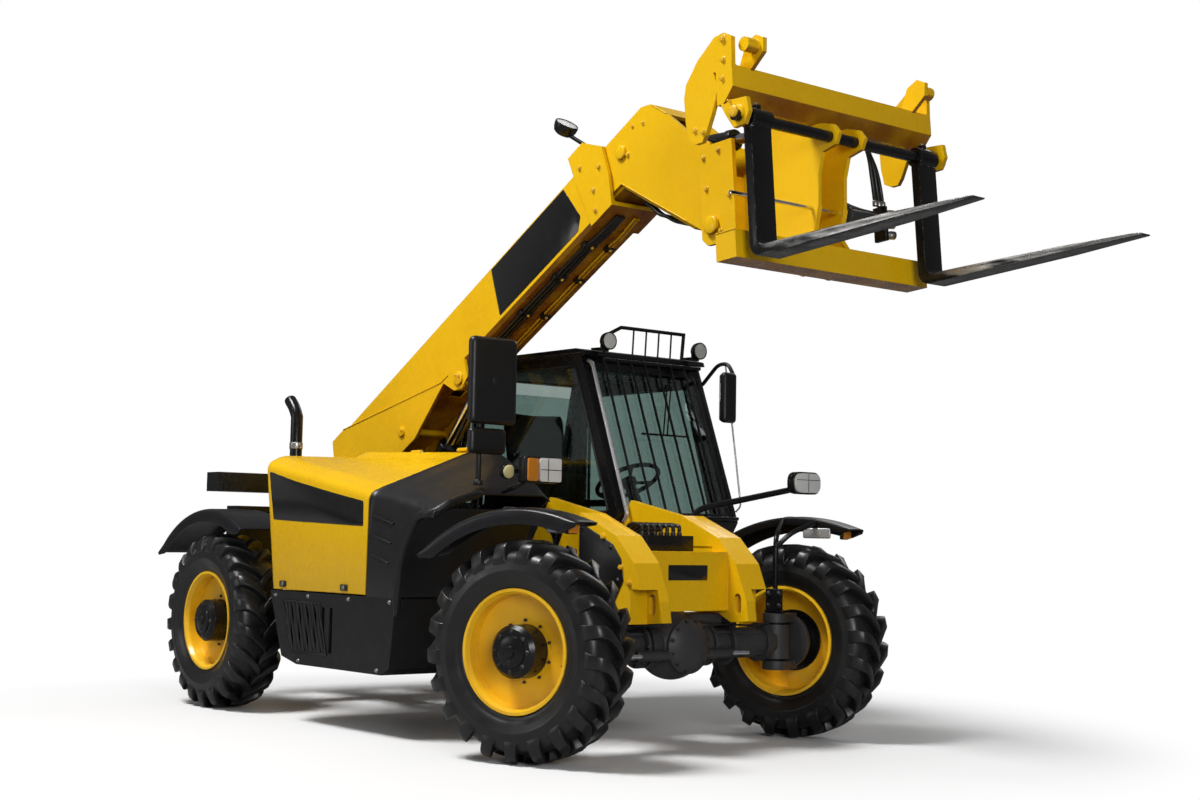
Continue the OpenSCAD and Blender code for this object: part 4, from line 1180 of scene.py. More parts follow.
@dataclass
class Pod(Assembly):
    """The engine pod: hinged hood, front cover, grilles and catches."""

    outer: float = 1000
    inner: float = 310
    foot: float = 693
    wall: float = 7
    rounding: float = 46
    shoulder_in: float = 92
    ridge_y: float = 352
    front: float = 842

    def shoulder(self, x: float) -> float:
        """Returns the height of the shoulder line at x."""
        return 1370 - 0.16 * (x + 840)

    def ridge(self, x: float) -> float:
        """Returns the height of the inner ridge at x."""
        return 1465 - 0.03 * (x + 840)

    def hood_section(self, x: float, inset: float) -> List[Flat]:
        """Returns the hood's section at x as y and z.

        Args:
            x: Where it is taken.
            inset: How far it is moved inwards.

        Returns:
            The section, from the outer foot to the inner edge.
        """
        s, r, o, i = self.shoulder(x), self.ridge(x), self.outer, self.inner
        raw = [(-o + inset, self.foot), (-o + inset, s - inset), (-o + self.shoulder_in, s + 44 - inset),
               (-450, r - 44 - inset), (-self.ridge_y, r - 2 - inset), (-i - 1, r - 26 - inset),
               (-i - 1, 1405)]
        return fillet(raw, [0, 62, 150, 160, 60, 20, 0], 7)

    def hood_rear(self, z: float) -> float:
        """Returns where the hood's rear face lies at height z."""
        return -839 + (1500 - z) * 0.171

    def hood_front(self, z: float) -> float:
        """Returns where the hood meets the front cover at height z."""
        return 256 + max(0.0, z - 693) * 0.018 + max(0.0, z - 1210) * 0.24

    def hood(self) -> None:
        """Builds the hood's skin: a rounded rear face running into the long shell."""
        shape = self.piece("hood_skin", YELLOW)
        ring = self.hood_section(-820, self.rounding)
        low, rows = self.foot, []
        for share in (0.02, 0.35, 0.7):
            face = [(-640 + (y + 640) * share, low + (z - low) * share) for y, z in ring]
            rows.append([(self.hood_rear(z), y, z) for y, z in face])
        for k in range(7):
            t = math.pi / 2 * k / 6
            inset, shift = self.rounding * (1 - math.sin(t)), self.rounding * (1 - math.cos(t))
            rows.append([(self.hood_rear(z) + shift, y, z) for y, z in self.hood_section(-820, inset)])
        for k in range(1, 25):
            u = k / 24
            section = self.hood_section(-790 + u * 1060, 0)
            rows.append([((self.hood_rear(z) + self.rounding) * (1 - u) + self.hood_front(z) * u, y, z)
                         for y, z in section])
        shape.grid(rows)
        shape.make(Slot.YELLOW, "engine_hood", shell=self.wall, bevel=1.5, replaces="engine_hood")

    def hood_trim(self) -> None:
        """Builds the hood's plain side panel, hinge knuckles and catches."""
        shape = self.piece("hood_trim", DECAL)
        y = -self.outer - 0.2
        panel = [(-752, 1322), (-500, 1270), (-100, 1203), (218, 1155), (222, 1030), (-80, 1040),
                 (-450, 1052), (-690, 1062)]
        shape.plate(closed_fillet(panel, 14, 4), y - 0.8, y + 0.5)
        for x in (-330, 110):
            shape.turned([(13, 0), (13, 90)], (x, -360, 1440), X, YELLOW, 20)
            shape.turned([(6, -14), (6, 104)], (x, -360, 1440), X, ZINC, 12)
        for x in (-560, 60):
            shape.pad((x - 32, y - 9, 706), (x + 32, y + 1, 738), 6, COVER, "Y")
            shape.pad((x - 12, y - 13, 712), (x + 12, y - 8, 732), 4, ZINC, "Y")
        shape.make(Slot.BLACK, "engine_hood", bevel=0.6)

    def cover_top(self, x: float) -> float:
        """Returns the height at which the front cover's slope is cut off at x."""
        return height_at(x, [(262, 1462), (346, 1452), (420, 1440), (520, 1392), (650, 1330), (760, 1258),
                             (850, 1190), (900, 1150)])

    def cover_foot(self, x: float) -> float:
        """Finds the height of the cover's lower edge: level, then along the wheel arch.

        Args:
            x: Where it is taken.

        Returns:
            The height.
        """
        arch = [(552, 690), (575, 840), (600, 915), (640, 985), (690, 1060), (750, 1118), (800, 1156),
                (850, 1188)]
        return self.foot - 8 if x < arch[0][0] else height_at(x, arch)

    def edge_height(self, x: float) -> float:
        """Returns the height of the cover's outer edge at x."""
        return min(self.cover_foot(x), min(self.shoulder(x), self.cover_top(x) - 30) - 30)

    def cover_section(self, x: float) -> List[Flat]:
        """Draws the front cover's section.

        Args:
            x: Where it is taken.

        Returns:
            The section as y and z, from the outer foot to the inner one.
        """
        top, o, i = self.cover_top(x), self.outer, self.inner
        s, rise = min(self.shoulder(x), top - 30), min(self.ridge(x), top)
        share = max(0.05, min(1.0, (top - s) / max(60.0, self.ridge(x) - s)))
        turn = -o + self.shoulder_in + share * (o - self.shoulder_in - self.ridge_y)
        raw = [(-o, self.edge_height(x)), (-o, s), (-o + self.shoulder_in, min(s + 44, top - 8)),
               (min(turn, -420), rise - 3), (-self.ridge_y, rise), (-i, rise - 26),
               (-i, min(max(self.cover_foot(x), 1000), rise - 31))]
        return fillet(raw, [0, 70, 110, 110, 40, 20, 0], 6)

    def cover(self) -> None:
        """Builds the front cover's skin, which starts along the hood's front edge."""
        shape = self.piece("front_cover_skin", COVER)
        steps, start, rows = 33, 268, []
        for k in range(steps + 1):
            u = k / steps
            x, blend = start + u * (self.front - start), min(1.0, u * 4)
            rows.append([((self.hood_front(z) + 8) * (1 - blend) + x * blend, y, z)
                         for y, z in self.cover_section(x)])
        shape.grid(relax(rows, 14))
        shape.make(Slot.PLASTIC, shell=self.wall, bevel=1.5, replaces="pod_front_cover")

    def cover_trim(self) -> None:
        """Builds the cover's louvres, its arch lip and the closing plate behind it."""
        shape = self.piece("front_cover_trim", COVER)
        y, front = -self.outer, self.front - 4
        for i in range(3):
            z, end = 1080 - 96 * i, 490 - 16 * i
            blade = [(310, z), (end, z - 42), (end + 5, z - 32), (315, z + 10)]
            shape.plate(closed_fillet(blade, 4, 3), y - 4, y + 3, soft=True)
        path = [(541, y + 2, 600), (542, y + 2, 690)]
        path += [(x - 10, y + 2, self.edge_height(x)) for x in (556, 566, 578, 592, 610, 632, 656, 682, 706)]
        rounded = ((752, 4, 6), (800, 14, 16), (828, 30, 34))
        path += [(x, y + inwards, self.edge_height(x) + up) for x, inwards, up in rounded]
        path += [(front, across, z) for across, z in self.cover_section(front) if -962 < across < -560][::2]
        shape.tube(path, [14] + [22] * (len(path) - 4) + [20, 16, 10], sides=14)
        shape.plate([(545, 690), (560, 690), (582, 838), (606, 905), (646, 975), (696, 1050), (756, 1110),
                     (756, 1125), (690, 1062), (640, 990), (598, 918), (572, 842)], y + 6, -self.inner)
        shape.make(Slot.PLASTIC, bevel=2)

    def skirt_trim(self) -> None:
        """Builds the skirt's slanted grille and its fixings."""
        shape = self.piece("skirt_trim", COVER)
        y = -self.outer
        outside = [(-560, 640), (-180, 640), (-90, 372), (-470, 372)]
        inside = [(-545, 628), (-190, 628), (-108, 384), (-458, 384)]
        for a, b in ((0, 1), (1, 2), (2, 3), (3, 0)):
            shape.plate([outside[a], outside[b], inside[b], inside[a]], y - 5, y + 2)
        for i in range(9):
            x = -535 + i * 39
            shape.plate([(x, 628), (x + 14, 628), (x + 98, 384), (x + 84, 384)], y - 4, y + 4)
        for x, z in ((-640, 660), (-300, 664), (100, 664), (480, 664), (-380, 330), (380, 330)):
            shape.bolt((x, y, z), (0, -1, 0), 14, ZINC)
        shape.make(Slot.SKIRT, bevel=1.2)

    def build(self) -> None:
        """Builds the pod."""
        self.hood()
        self.hood_trim()
        self.cover()
        self.cover_trim()
        self.skirt_trim()


@dataclass
class Engine(Assembly):
    """What shows under the raised hood: block, head cover, air cleaner, cooler and battery."""

    ribs: int = 7
    fins: int = 22

    def build(self) -> None:
        """Builds the engine bay."""
        shape = self.piece("engine_bay", CAST)
        shape.box((-470, -820, 700), (90, -480, 1010))
        shape.box((-455, -760, 1008), (75, -540, 1080))
        shape.pad((-440, -735, 1076), (60, -565, 1140), 24, COVER)
        for i in range(self.ribs):
            x = -430 + i * 76
            shape.box((x, -832, 730), (x + 14, -815, 990))
            shape.bolt((x + 20, -600, 1138), Z, 13, ZINC)
        cleaner = [(70, 0), (92, 12), (92, 40), (84, 46), (84, 300), (92, 306), (92, 330), (60, 340)]
        shape.turned(cleaner, (-350, -400, 1085), X, COVER, 36)
        shape.box((92, -880, 705), (176, -300, 1165), BLACK)
        for i in range(self.fins):
            z = 725 + i * 20
            shape.box((88, -865, z), (93, -315, z + 6), ZINC)
        shape.turned([(40, 0), (175, 2), (180, 20), (40, 24)], (62, -600, 930), X, COVER)
        shape.box((-636, -880, 702), (-490, -560, 930), COVER)
        for y in (-800, -640):
            shape.turned([(12, 0), (12, 18), (9, 20)], (-560, y, 930), Z, ZINC, 16)
        shape.pipe([(60, -420, 1060), (0, -380, 1120), (-30, -400, 1150), (-90, -420, 1085)], 26, 60, HOSE)
        shape.pipe([(95, -700, 1100), (40, -720, 1120), (20, -700, 1090), (20, -690, 1050)], 20, 40, HOSE)
        shape.box((-600, -480, 700), (-500, -285, 1000), BLACK)
        shape.make(Slot.AXLE, bevel=4, replaces="engine_block")


@dataclass
class Exhaust(Assembly):
    """The exhaust stack, its clamp and its bracket."""

    at: Flat = (-918, -750)

    def build(self) -> None:
        """Builds the stack, which bends back at its top."""
        shape = self.piece("exhaust_pipe", BLACK)
        x, y = self.at
        path = [(x, y, 1062), (x, y, 1640)]
        path += [(x - 12 * k - 1.6 * k * k, y, 1640 + 26 * k - 0.9 * k * k) for k in range(1, 5)]
        path.append((x - 84, y, 1740))
        shape.tube(path, [34] * (len(path) - 1) + [33], sides=28)
        shape.turned([(37, 0), (37, 34), (35, 36)], (x, y, 1460), Z, ZINC, 28)
        shape.turned([(37.5, 0), (37.5, 22), (35, 24)], (x, y, 1110), Z, ZINC, 28)
        shape.box((x + 34, y - 8, 1462), (x + 56, y + 8, 1492), ZINC)
        shape.tube([(x, y + 20, 1085), (x, -310, 1085)], 25, sides=18)
        shape.box((x - 30, -330, 900), (x + 30, -281, 1115))
        for z in (930, 1090):
            shape.bolt((x - 30, -305, z), (-1, 0, 0), 16, ZINC)
        shape.make(Slot.BLACK, bevel=2, replaces="exhaust_stack")


# ---- boom and hitch


@dataclass
class Boom(Assembly):
    """The boom's plain side bands, wear pads, welds, pipes and its work lamp."""

    half_w: float = 150
    half_h: float = 165
    length: float = 2890

    def place(self) -> Matrix:
        """Returns the boom's frame."""
        return self.layout.boom()

    def outer_trim(self) -> None:
        """Builds the outer boom's bands, pad bolts, pin keepers and weld beads."""
        shape = self.piece("boom_trim", DECAL)
        band = closed_fillet([(1840, -128), (2596, -128), (2648, -70), (2600, 142), (1888, 142)], 10, 4)
        for side in SIDES:
            face, out = side * (self.half_w + 0.2), (0, side, 0)
            shape.plate(band, face - 0.5 * side, face + 0.8 * side)
            pad, keeper, bolted = (side * (self.half_w + raised) for raised in (6, 8, 17))
            for x, z in ((2765, 150), (2800, -20), (2765, -120), (2890, 60)):
                shape.bolt((x, pad, z), out, 19, PAINTED_BOLTS)
            for x, z, r in ((0, -120, 58), (1368, -222, 40), (748, -187, 30)):
                shape.turned([(r, -4), (r, 7), (r - 4, 10), (r * 0.3, 10)], (x, keeper, z), out, YELLOW)
                shape.bolt((x + r * 0.5, bolted, z), out, 14, PAINTED_BOLTS)
            shape.bead([(200, pad, 165), (1210, pad, -150), (1290, pad, -150)], 4, YELLOW)
            seam = side * (self.half_w + 1)
            shape.bead([(2700, seam, -165), (2700, seam, 110)], 4, YELLOW)
            shape.nipple((1368, side * (self.half_w + 16), -205), out, PAINTED_BOLTS)
        shape.make(Slot.YELLOW, "boom_outer", bevel=0.8)

    def pipes(self) -> None:
        """Builds the steel pipes and the hoses under the outer boom, with their clamps."""
        shape = self.piece("boom_pipes", YELLOW)
        low, clamp = -self.half_h - 14, -self.half_h - 27
        for i, y in enumerate((-96, -70, -44, 52, 78)):
            shape.pipe([(1500, y, low), (2500 + 30 * i, y, low), (2660, y * 0.9, low - 14),
                        (2820, y * 0.8, low - 6)], 9.5, 60, HOSE if y < 0 else YELLOW)
        for x in (1620, 1950, 2280, 2560):
            shape.box((x - 18, -112, clamp), (x + 18, -30, -self.half_h + 1), HOSE)
            shape.box((x - 18, 38, clamp), (x + 18, 92, -self.half_h + 1), HOSE)
            for y in (-57, 65):
                shape.bolt((x, y, clamp), DOWN, 12, PAINTED_BOLTS)
        shape.make(Slot.YELLOW, "boom_outer", bevel=1.5)

    def inner_trim(self) -> None:
        """Builds the head's pins, keepers, bolts, welds and hoses on the inner boom."""
        shape = self.piece("boom_head_trim", PAINTED_BOLTS)
        for side in SIDES:
            y, out = side * 130, (0, side, 0)
            shape.turned([(36, -6), (36, 12), (31, 15), (8, 15)], (3041, y, 32), out, YELLOW)
            shape.bolt((3075, y, -8), out, 18)
            shape.bead([(2968, y, -107), (3262, y, -560)], 3.5, YELLOW)
            shape.bead([(3400, y, -14), (3330, y, 102)], 3.5, YELLOW)
            for x, z in ((3170, 96), (3240, 60)):
                shape.bolt((x, y, z), out, 14)
            for across in (62, 88):
                a = side * across
                shape.pipe([(2960, a, -128), (3020, a, -222), (3046, a, -288), (3089, a, -386),
                            (3124, a, -420), (3155, a * 0.9, -474), (3236, a * 0.9, -554)], 9, 40, HOSE)
            clamp = [(3052, -248), (3082, -294), (3064, -304), (3034, -258)]
            shape.plate(clamp, side * 48, side * 102, BLACK)
        shape.make(Slot.YELLOW, "boom_inner", bevel=0.8)

    def lamp(self) -> None:
        """Builds the boom's work lamp on its bent bracket."""
        shape = self.piece("boom_work_lamp", BLACK)
        foot, turn = self.length - 150, math.radians(64.5)
        axis = Vector((math.sin(turn), 0, math.cos(turn)))
        back = tuple(Vector((self.length - 270, 0, 560)) - axis * 35)
        shape.pipe([(foot, 0, 255.3), (foot, 0, 330), (self.length - 262, 0, 516)], 11, 60)
        shape.box((foot - 28, -26, 255.2), (foot + 28, 26, 262))
        shape.turned([(20, 0), (38, 3), (54, 14), (62, 34), (65, 52), (65, 66), (61, 69), (57, 66), (55, 30),
                      (20, 16)], back, axis, steps=36)
        shape.turned([(56, 60), (56, 65), (40, 69), (3, 71)], back, axis, LENS, 36)
        shape.turned([(54.5, 55), (50, 40), (30, 28), (8, 24)], back, axis, REFLECTOR, 36)
        shape.make(Slot.BLACK, "boom_outer", replaces="boom_lamp")

    def build(self) -> None:
        """Builds the boom's pieces."""
        self.outer_trim()
        self.pipes()
        self.inner_trim()
        self.lamp()


@dataclass
class Hitch(Assembly):
    """The fork carriage's bolts, pins, weld beads and hydraulic fittings."""

    half: float = 640

    def place(self) -> Matrix:
        """Returns the carriage's frame."""
        return self.layout.carriage()

    def trim(self) -> None:
        """Builds the carriage's fixings."""
        shape = self.piece("hitch_trim", PAINTED_BOLTS)
        for side in SIDES:
            out, outside, eye, end = (0, side, 0), *(side * (self.half + raised) for raised in (0, 1, 26))
            shape.bolt((615, outside, 608), out, 22)
            for u, w in ((470, 240), (420, 260), (610, 520), (600, 440)):
                shape.bolt((u, outside, w), out, 18)
            shape.turned([(34, -4), (34, 6), (30, 9), (6, 9)], (685, eye, 268), out, YELLOW)
            shape.turned([(25.2, 0), (25.2, 9), (21, 12), (5, 12)], (685, end, 268), out, steps=28)
            shape.turned([(44, -4), (44, 10), (38, 14), (8, 14)], (0, side * 168, 0), out, YELLOW, 36)
            for u, w in ((52, -36), (-40, 330), (60, 345), (120, 120), (-30, 180)):
                shape.bolt((u, side * 161, w), out, 18)
            for y in (side * 72, side * 92):
                shape.bead([(597, y, -205), (563, y, -150), (600, y, -30)], 4, YELLOW)
            welds = ((92, 560, 487, 480, 483), (617, 660, 487, 560, 487), (609, 600, -205, 482, -205))
            for y, u0, w0, u1, w1 in welds:
                shape.bead([(u0, side * y, w0), (u1, side * y, w1)], 4, YELLOW)
            shape.nipple((640, outside, 330), out)
        shape.make(Slot.YELLOW, "carriage", bevel=0.8)

    def hydraulics(self) -> None:
        """Builds the locking cylinder, its rod, the quick couplings on their bracket and the hoses."""
        shape = self.piece("hitch_hydraulics", CAST)
        shape.tube([(560, -590, -36), (560, 120, -36)], 9, CHROME, 14)
        shape.turned([(30, 0), (36, 4), (36, 16), (31, 20), (31, 210), (36, 214), (36, 232), (20, 236)],
                     (560, 130, -36), Y, steps=28)
        shape.box((530, 352, -70), (590, 380, -2), BLACK)
        shape.box((500, 380, -120), (570, 400, 40), BLACK)
        for w in (-90, -40, 10):
            coupling = [(17, 0), (17, 26), (20, 28), (20, 52), (14, 56)]
            shape.turned(coupling, (545, 400, w), (0.3, 1, 0), ZINC, 18)
        for y, high in ((392, 330), (366, 370), (340, 410)):
            shape.pipe([(552, y, 36), (546, y, 110), (556, y - 30, high - 130), (566, y - 120, high),
                        (560, y - 170, 488)], 9, 60, HOSE)
            shape.turned([(13, -2), (13, 20), (10, 24)], (552, y, 38), Z, ZINC, 16)
        shape.pipe([(560, 366, -4), (530, 250, 10), (480, 182, 50), (452, 170, 96)], 9, 40, HOSE)
        shape.turned([(20, -2), (20, 14), (14, 20)], (452, 160, 96), Y, ZINC, 20)
        shape.make(Slot.AXLE, "carriage", bevel=1.5)

    def build(self) -> None:
        """Builds the hitch's pieces."""
        self.trim()
        self.hydraulics()


@dataclass
class Fork(Assembly):
    """A fork with a rounded heel, tapered blade and eye."""

    hand: Hand
    width: float = 120
    thick: float = 45
    rear: float = 663
    heel: float = -343
    length: float = 1090
    offset: float = 534
    point: float = 220

    def place(self) -> Matrix:
        """Returns the carriage's frame, moved to the fork."""
        return self.layout.carriage() @ Matrix.Translation((0, self.hand.value * self.offset, 0))

    def build(self) -> None:
        """Builds the fork, whose blade narrows to its point."""
        side, half = self.hand.name.lower(), self.width / 2
        shape = self.piece(f"fork_blade_{side}", FORK)
        front, heel = self.rear + self.thick, self.heel
        tip = front + self.length
        outline: List[Flat] = [(self.rear, 262), (front, 262)]
        outline += arc((front + 34, heel + self.thick + 34), 34, 180, 270, 8)
        outline += [(front + 200, heel + 41), (tip - 380, heel + 26), (tip - 26, heel + 12),
                    (tip - 6, heel + 8.5), (tip, heel + 5), (tip - 3, heel + 0.5), (tip - 380, heel),
                    (front + 200, heel)]
        outline += arc((self.rear + 62, heel + 62), 62, 270, 180, 10)
        rows = []
        for t in SIDES:
            over = [max(0.0, u - (tip - self.point)) / self.point for u, _ in outline]
            rows.append([(u, t * (half - 30 * share ** 1.6), w) for (u, w), share in zip(outline, over)])
        shape.grid(rows, around=True, caps=True, soft=False)
        ring = [(26.6, -half), (45, -half), (45, half), (26.6, half)]
        eye = [[(r, h, polar(r, a)) for r, h in ring] for a in spokes(40)]
        shape.grid([[(685.5 + u, h, 255 + w) for _, h, (u, w) in row] for row in eye], around=True, loop=True)
        shape.box((668, -14, 298), (700, 14, 318))
        shape.turned([(8, 0), (8, 10), (5, 13)], (684, 0, 317), Z, ZINC, 14)
        shape.make(Slot.FORK, f"fork_{side}", bevel=3, segments=3, replaces=f"fork_{side}")


@dataclass
class Rams(Assembly):
    """Gland nuts, ports and pipes on the lift and tilt cylinders."""

    lift: Flat = (55, 1000)
    tilt: Flat = (45, 680)

    def dress(self, name: str, size: Flat) -> None:
        """Builds the fittings of one cylinder.

        Args:
            name: Which cylinder it is: lift or tilt.
            size: The barrel's radius, and where the barrel ends.
        """
        r, end = size
        shape = Shape(f"{name}_ram_fittings", self.layout.cylinder(name), BLACK)
        shape.turned([(r + 2, 0), (r + 6, -5), (r + 6, -42), (r + 1, -46)], (end, 0, 0), X, steps=36)
        shape.turned([(r + 2, 17), (r + 4, 14), (r + 4, 3), (r + 1, 0)], (150, 0, 0), X, steps=36)
        for x in (175, end - 90):
            shape.turned([(15, -4), (15, 16), (12, 18), (12, 30)], (x, 0, -r), DOWN, steps=20)
        shape.pipe([(175, 0, -r - 26), (230, 0, -r - 26), (end - 150, 0, -r - 12), (end - 90, 0, -r - 24)],
                   6, 20, ZINC)
        shape.make(Slot.BLACK, f"{name}_barrel", bevel=0.8)

    def build(self) -> None:
        """Builds both cylinders' fittings."""
        self.dress("lift", self.lift)
        self.dress("tilt", self.tilt)


# ---- cab


@dataclass
class CabPart(Assembly):
    """What is fixed to the cab, whose sides and roof lie here."""

    inner: float = 205
    outer: float = 1060
    roof: float = 2010


@dataclass
class Cab(CabPart):
    """Seals, handles, wiper, roof hatch, steps and the driver's controls."""

    wheel: Point = (325, 632.5, 1308)
    wheel_tilt: float = 30

    def outlined(self, shape: Shape, outline: Sequence[Flat], y: float, radius: float) -> None:
        """Adds a seal round a window whose corners are given as x and z."""
        shape.pipe([(x, y, z) for x, z in (*outline, outline[0])], radius, 24, SEAL, 10)

    def seals(self) -> None:
        """Builds the rubber seals round the windows."""
        shape = self.piece("window_seals", SEAL)
        near, far, low, high = self.inner + 61, self.outer - 61, 1126, self.roof - 106
        shape.pipe([(748, near, low), (444, near, high), (444, far, high), (748, far, low), (748, near, low)],
                   8, 30, sides=10)
        for outline in ([(-500, 1130), (-500, 1915), (375, 1915), (675, 1130)],
                        [(-705, 1130), (-705, 1490), (-585, 1915), (-560, 1915), (-560, 1130)]):
            self.outlined(shape, outline, self.inner - 1, 7)
        shape.make(Slot.PLASTIC)

    def outside(self) -> None:
        """Builds the screen pillar's rail, wiper, roof hatch, gutters, step treads and grab rail."""
        shape = self.piece("cab_fittings", BLACK)
        y, roof = self.inner + 26, self.roof
        shape.pipe([(452, y, roof - 70), (494, y - 6, roof - 84), (806, y - 6, 1112), (770, y, 1080)], 11,
                   40, RAIL)
        base, down = Vector((492, 760, 1826)), Vector((306, 0, -790)).normalized()
        shape.turned([(20, 0), (20, 26), (12, 30)], base, (0.93, 0, 0.36), steps=20)
        end = base + down * 300 + Vector((22, -120, 8))
        for shift in (-14, 14):
            shape.pipe([base + Vector((20, shift, 6)), end + Vector((0, shift, 0))], 4.5, 10, sides=8)
        shape.pipe([end + Vector((0, shift, 0)) for shift in (-170, 0, 170)], 6, 10, sides=8)
        shape.box((-420, 380, roof - 1), (180, 880, roof + 12), INNER)
        for i in range(5):
            shape.box((-390 + i * 118, 410, roof + 11), (-340 + i * 118, 850, roof + 20), INNER)
        for y in (self.inner - 3, self.outer + 6):
            shape.pipe([(-640, y, roof - 26), (430, y, roof - 26)], 7, 10, sides=10)
        for z in (450, 580):
            for i in range(9):
                shape.turned([(9, 0), (7, 7), (4, 8)], (-35 + i * 41, self.outer - 80, z), Z, ZINC, 10)
        near, far = self.outer + 4, self.outer + 26
        grab = [(-640, near, 1010), (-640, far, 1040), (-640, far, 1620), (-640, near, 1650)]
        shape.pipe(grab, 11, 26, RAIL)
        shape.make(Slot.BLACK, bevel=2)

    def door_fittings(self) -> None:
        """Builds the door's handle, seals and hinge bolts."""
        shape = self.piece("door_fittings", BLACK)
        y = self.outer
        shape.pad((400, y - 2, 1070), (520, y + 12, 1108), 8)
        shape.pipe([(418, y + 8, 1090), (430, y + 26, 1090), (492, y + 26, 1090), (504, y + 8, 1090)], 7, 12)
        for outline in ([(-530, 1130), (-530, 1850), (335, 1850), (570, 1130)],
                        [(-530, 790), (-530, 1060), (560, 1060), (500, 930), (470, 790)]):
            self.outlined(shape, outline, y + 1, 6)
        for z in (930, 990, 1680, 1740):
            shape.bolt((-572, y + 14, z), Y, 13, ZINC)
        shape.make(Slot.BLACK, "cab_door", bevel=1.2)

    def seat(self) -> None:
        """Builds the driver's seat: bellows, base, armrests, cushion and backrest."""
        place = self.layout.vehicle() @ Matrix.Translation((-260, self.wheel[1], 0))
        base = Shape("seat_base", place, SEAL)
        for i in range(5):
            half, z = 190 - 8 * (i % 2), 700 + i * 50
            base.pad((-half, 20 - half, z), (half, half - 20, z + 52), 18, axis="Z")
        base.box((-215, -215, 958), (205, 215, 1002), INNER)
        for side in SIDES:
            base.pad((-60, side * 205 - 26, 1176), (200, side * 205 + 26, 1216), 20, INNER)
        base.make(Slot.SEAT, bevel=3, replaces="driver_seat")
        recline = Matrix.Translation((-232, 0, 1140)) @ Matrix.Rotation(math.radians(-10), 4, "Y")
        self.cushion("seat_cushion", place, (-215, -228, 1004), (222, 228, 1140))
        self.cushion("seat_backrest", place @ recline, (0, -222, 0), (104, 222, 590))

    def cushion(self, name: str, place: Matrix, low: Point, high: Point) -> None:
        """Builds a padded cushion with bolsters and sewn channels; its thinnest way is its depth.

        Args:
            name: The piece's name.
            place: Its frame.
            low: Its lowest corner.
            high: Its highest corner.
        """
        size = [high[i] - low[i] for i in range(3)]
        thin = size.index(min(size))
        a, b = [i for i in range(3) if i != thin]
        shape, steps = Shape(name, place, SEAT), 28
        shares = [2 * k / steps - 1 for k in range(steps + 1)]

        def surface(u: float, v: float, upper: bool) -> Point:
            """Places one point of the cushion.

            Args:
                u: How far it is from the middle, one way: 1 is the edge.
                v: How far it is from the middle, the other way.
                upper: Whether it is on the upper face.

            Returns:
                The point.
            """
            edge = (1 - abs(u) ** 5) * (1 - abs(v) ** 5)
            channel = 0.085 * math.exp(-((abs(v) - 0.52) / 0.045) ** 2)
            if abs(v) < 0.52:
                channel += 0.06 * math.exp(-((u - 0.1) / 0.04) ** 2)
            bolster = 0.10 * max(0.0, abs(v) - 0.55) / 0.45
            crown = min(1.0, 0.30 + (0.60 + bolster) * edge ** 0.42 - channel * edge)
            point = [0.0, 0.0, 0.0]
            for axis, t, other in ((a, u, v), (b, v, u)):
                pulled = t * (1 - 0.035 * (1 - abs(other)) * abs(t))
                point[axis] = low[axis] + size[axis] * (pulled + 1) / 2
            point[thin] = low[thin] + size[thin] * (crown if upper else 0.30 - 0.30 * edge ** 0.5)
            return tuple(point)

        for upper in (True, False):
            shape.grid([[surface(u, v, upper) for v in shares] for u in shares])
        shape.make(Slot.SEAT, smooth=1)

    def controls(self) -> None:
        """Builds the console, steering wheel, lever and pedals."""
        shape = self.piece("driver_controls", INNER)
        mid = self.wheel[1]
        tilt = Matrix.Rotation(math.radians(-self.wheel_tilt), 4, "Y")
        console = [(392, 697), (490, 697), (562, 880), (596, 1070), (560, 1078), (436, 1078)]
        shape.plate(closed_fillet(console, 18, 4), mid - 166, mid + 166, soft=True)
        shape.tube([(470, mid, 1060), (332, mid, 1296)], [38, 30], sides=24)
        hub = Vector(self.wheel)
        section = [(175 + x, z) for x, z in (polar(12.5, -t) for t in spokes(12))]
        rim = [[hub + tilt @ Vector((*polar(r, a), z)) for r, z in section] for a in spokes(48)]
        shape.grid(rim, around=True, loop=True, finish=SEAL)
        for a in (90, 210, 330):
            spoke = [(22, -8), (90, -6), (170, 0)]
            shape.tube([hub + tilt @ Vector((*polar(d, math.radians(a)), h)) for d, h in spoke], 9, SEAL, 10)
        shape.turned([(44, -26), (46, -20), (46, 6), (38, 13), (8, 14)], hub, tilt @ Vector(Z), SEAL)
        shape.tube([(-60, mid - 240, 1216), (-30, mid - 240, 1290)], [9, 16], SEAL, 14)
        shape.pad((-190, mid - 300, 1000), (120, mid - 238, 1216), 18)
        for y in (mid - 120, mid + 60):
            shape.box((330, y, 712), (392, y + 70, 724), SEAL)
        shape.box((-600, self.inner + 120, 697), (380, self.outer - 60, 701), HOSE)
        shape.make(Slot.PLASTIC, bevel=2, replaces="steering_console")

    def build(self) -> None:
        """Builds the cab's pieces."""
        self.seals()
        self.outside()
        self.door_fittings()
        self.seat()
        self.controls()


# ---- lamps and mirrors


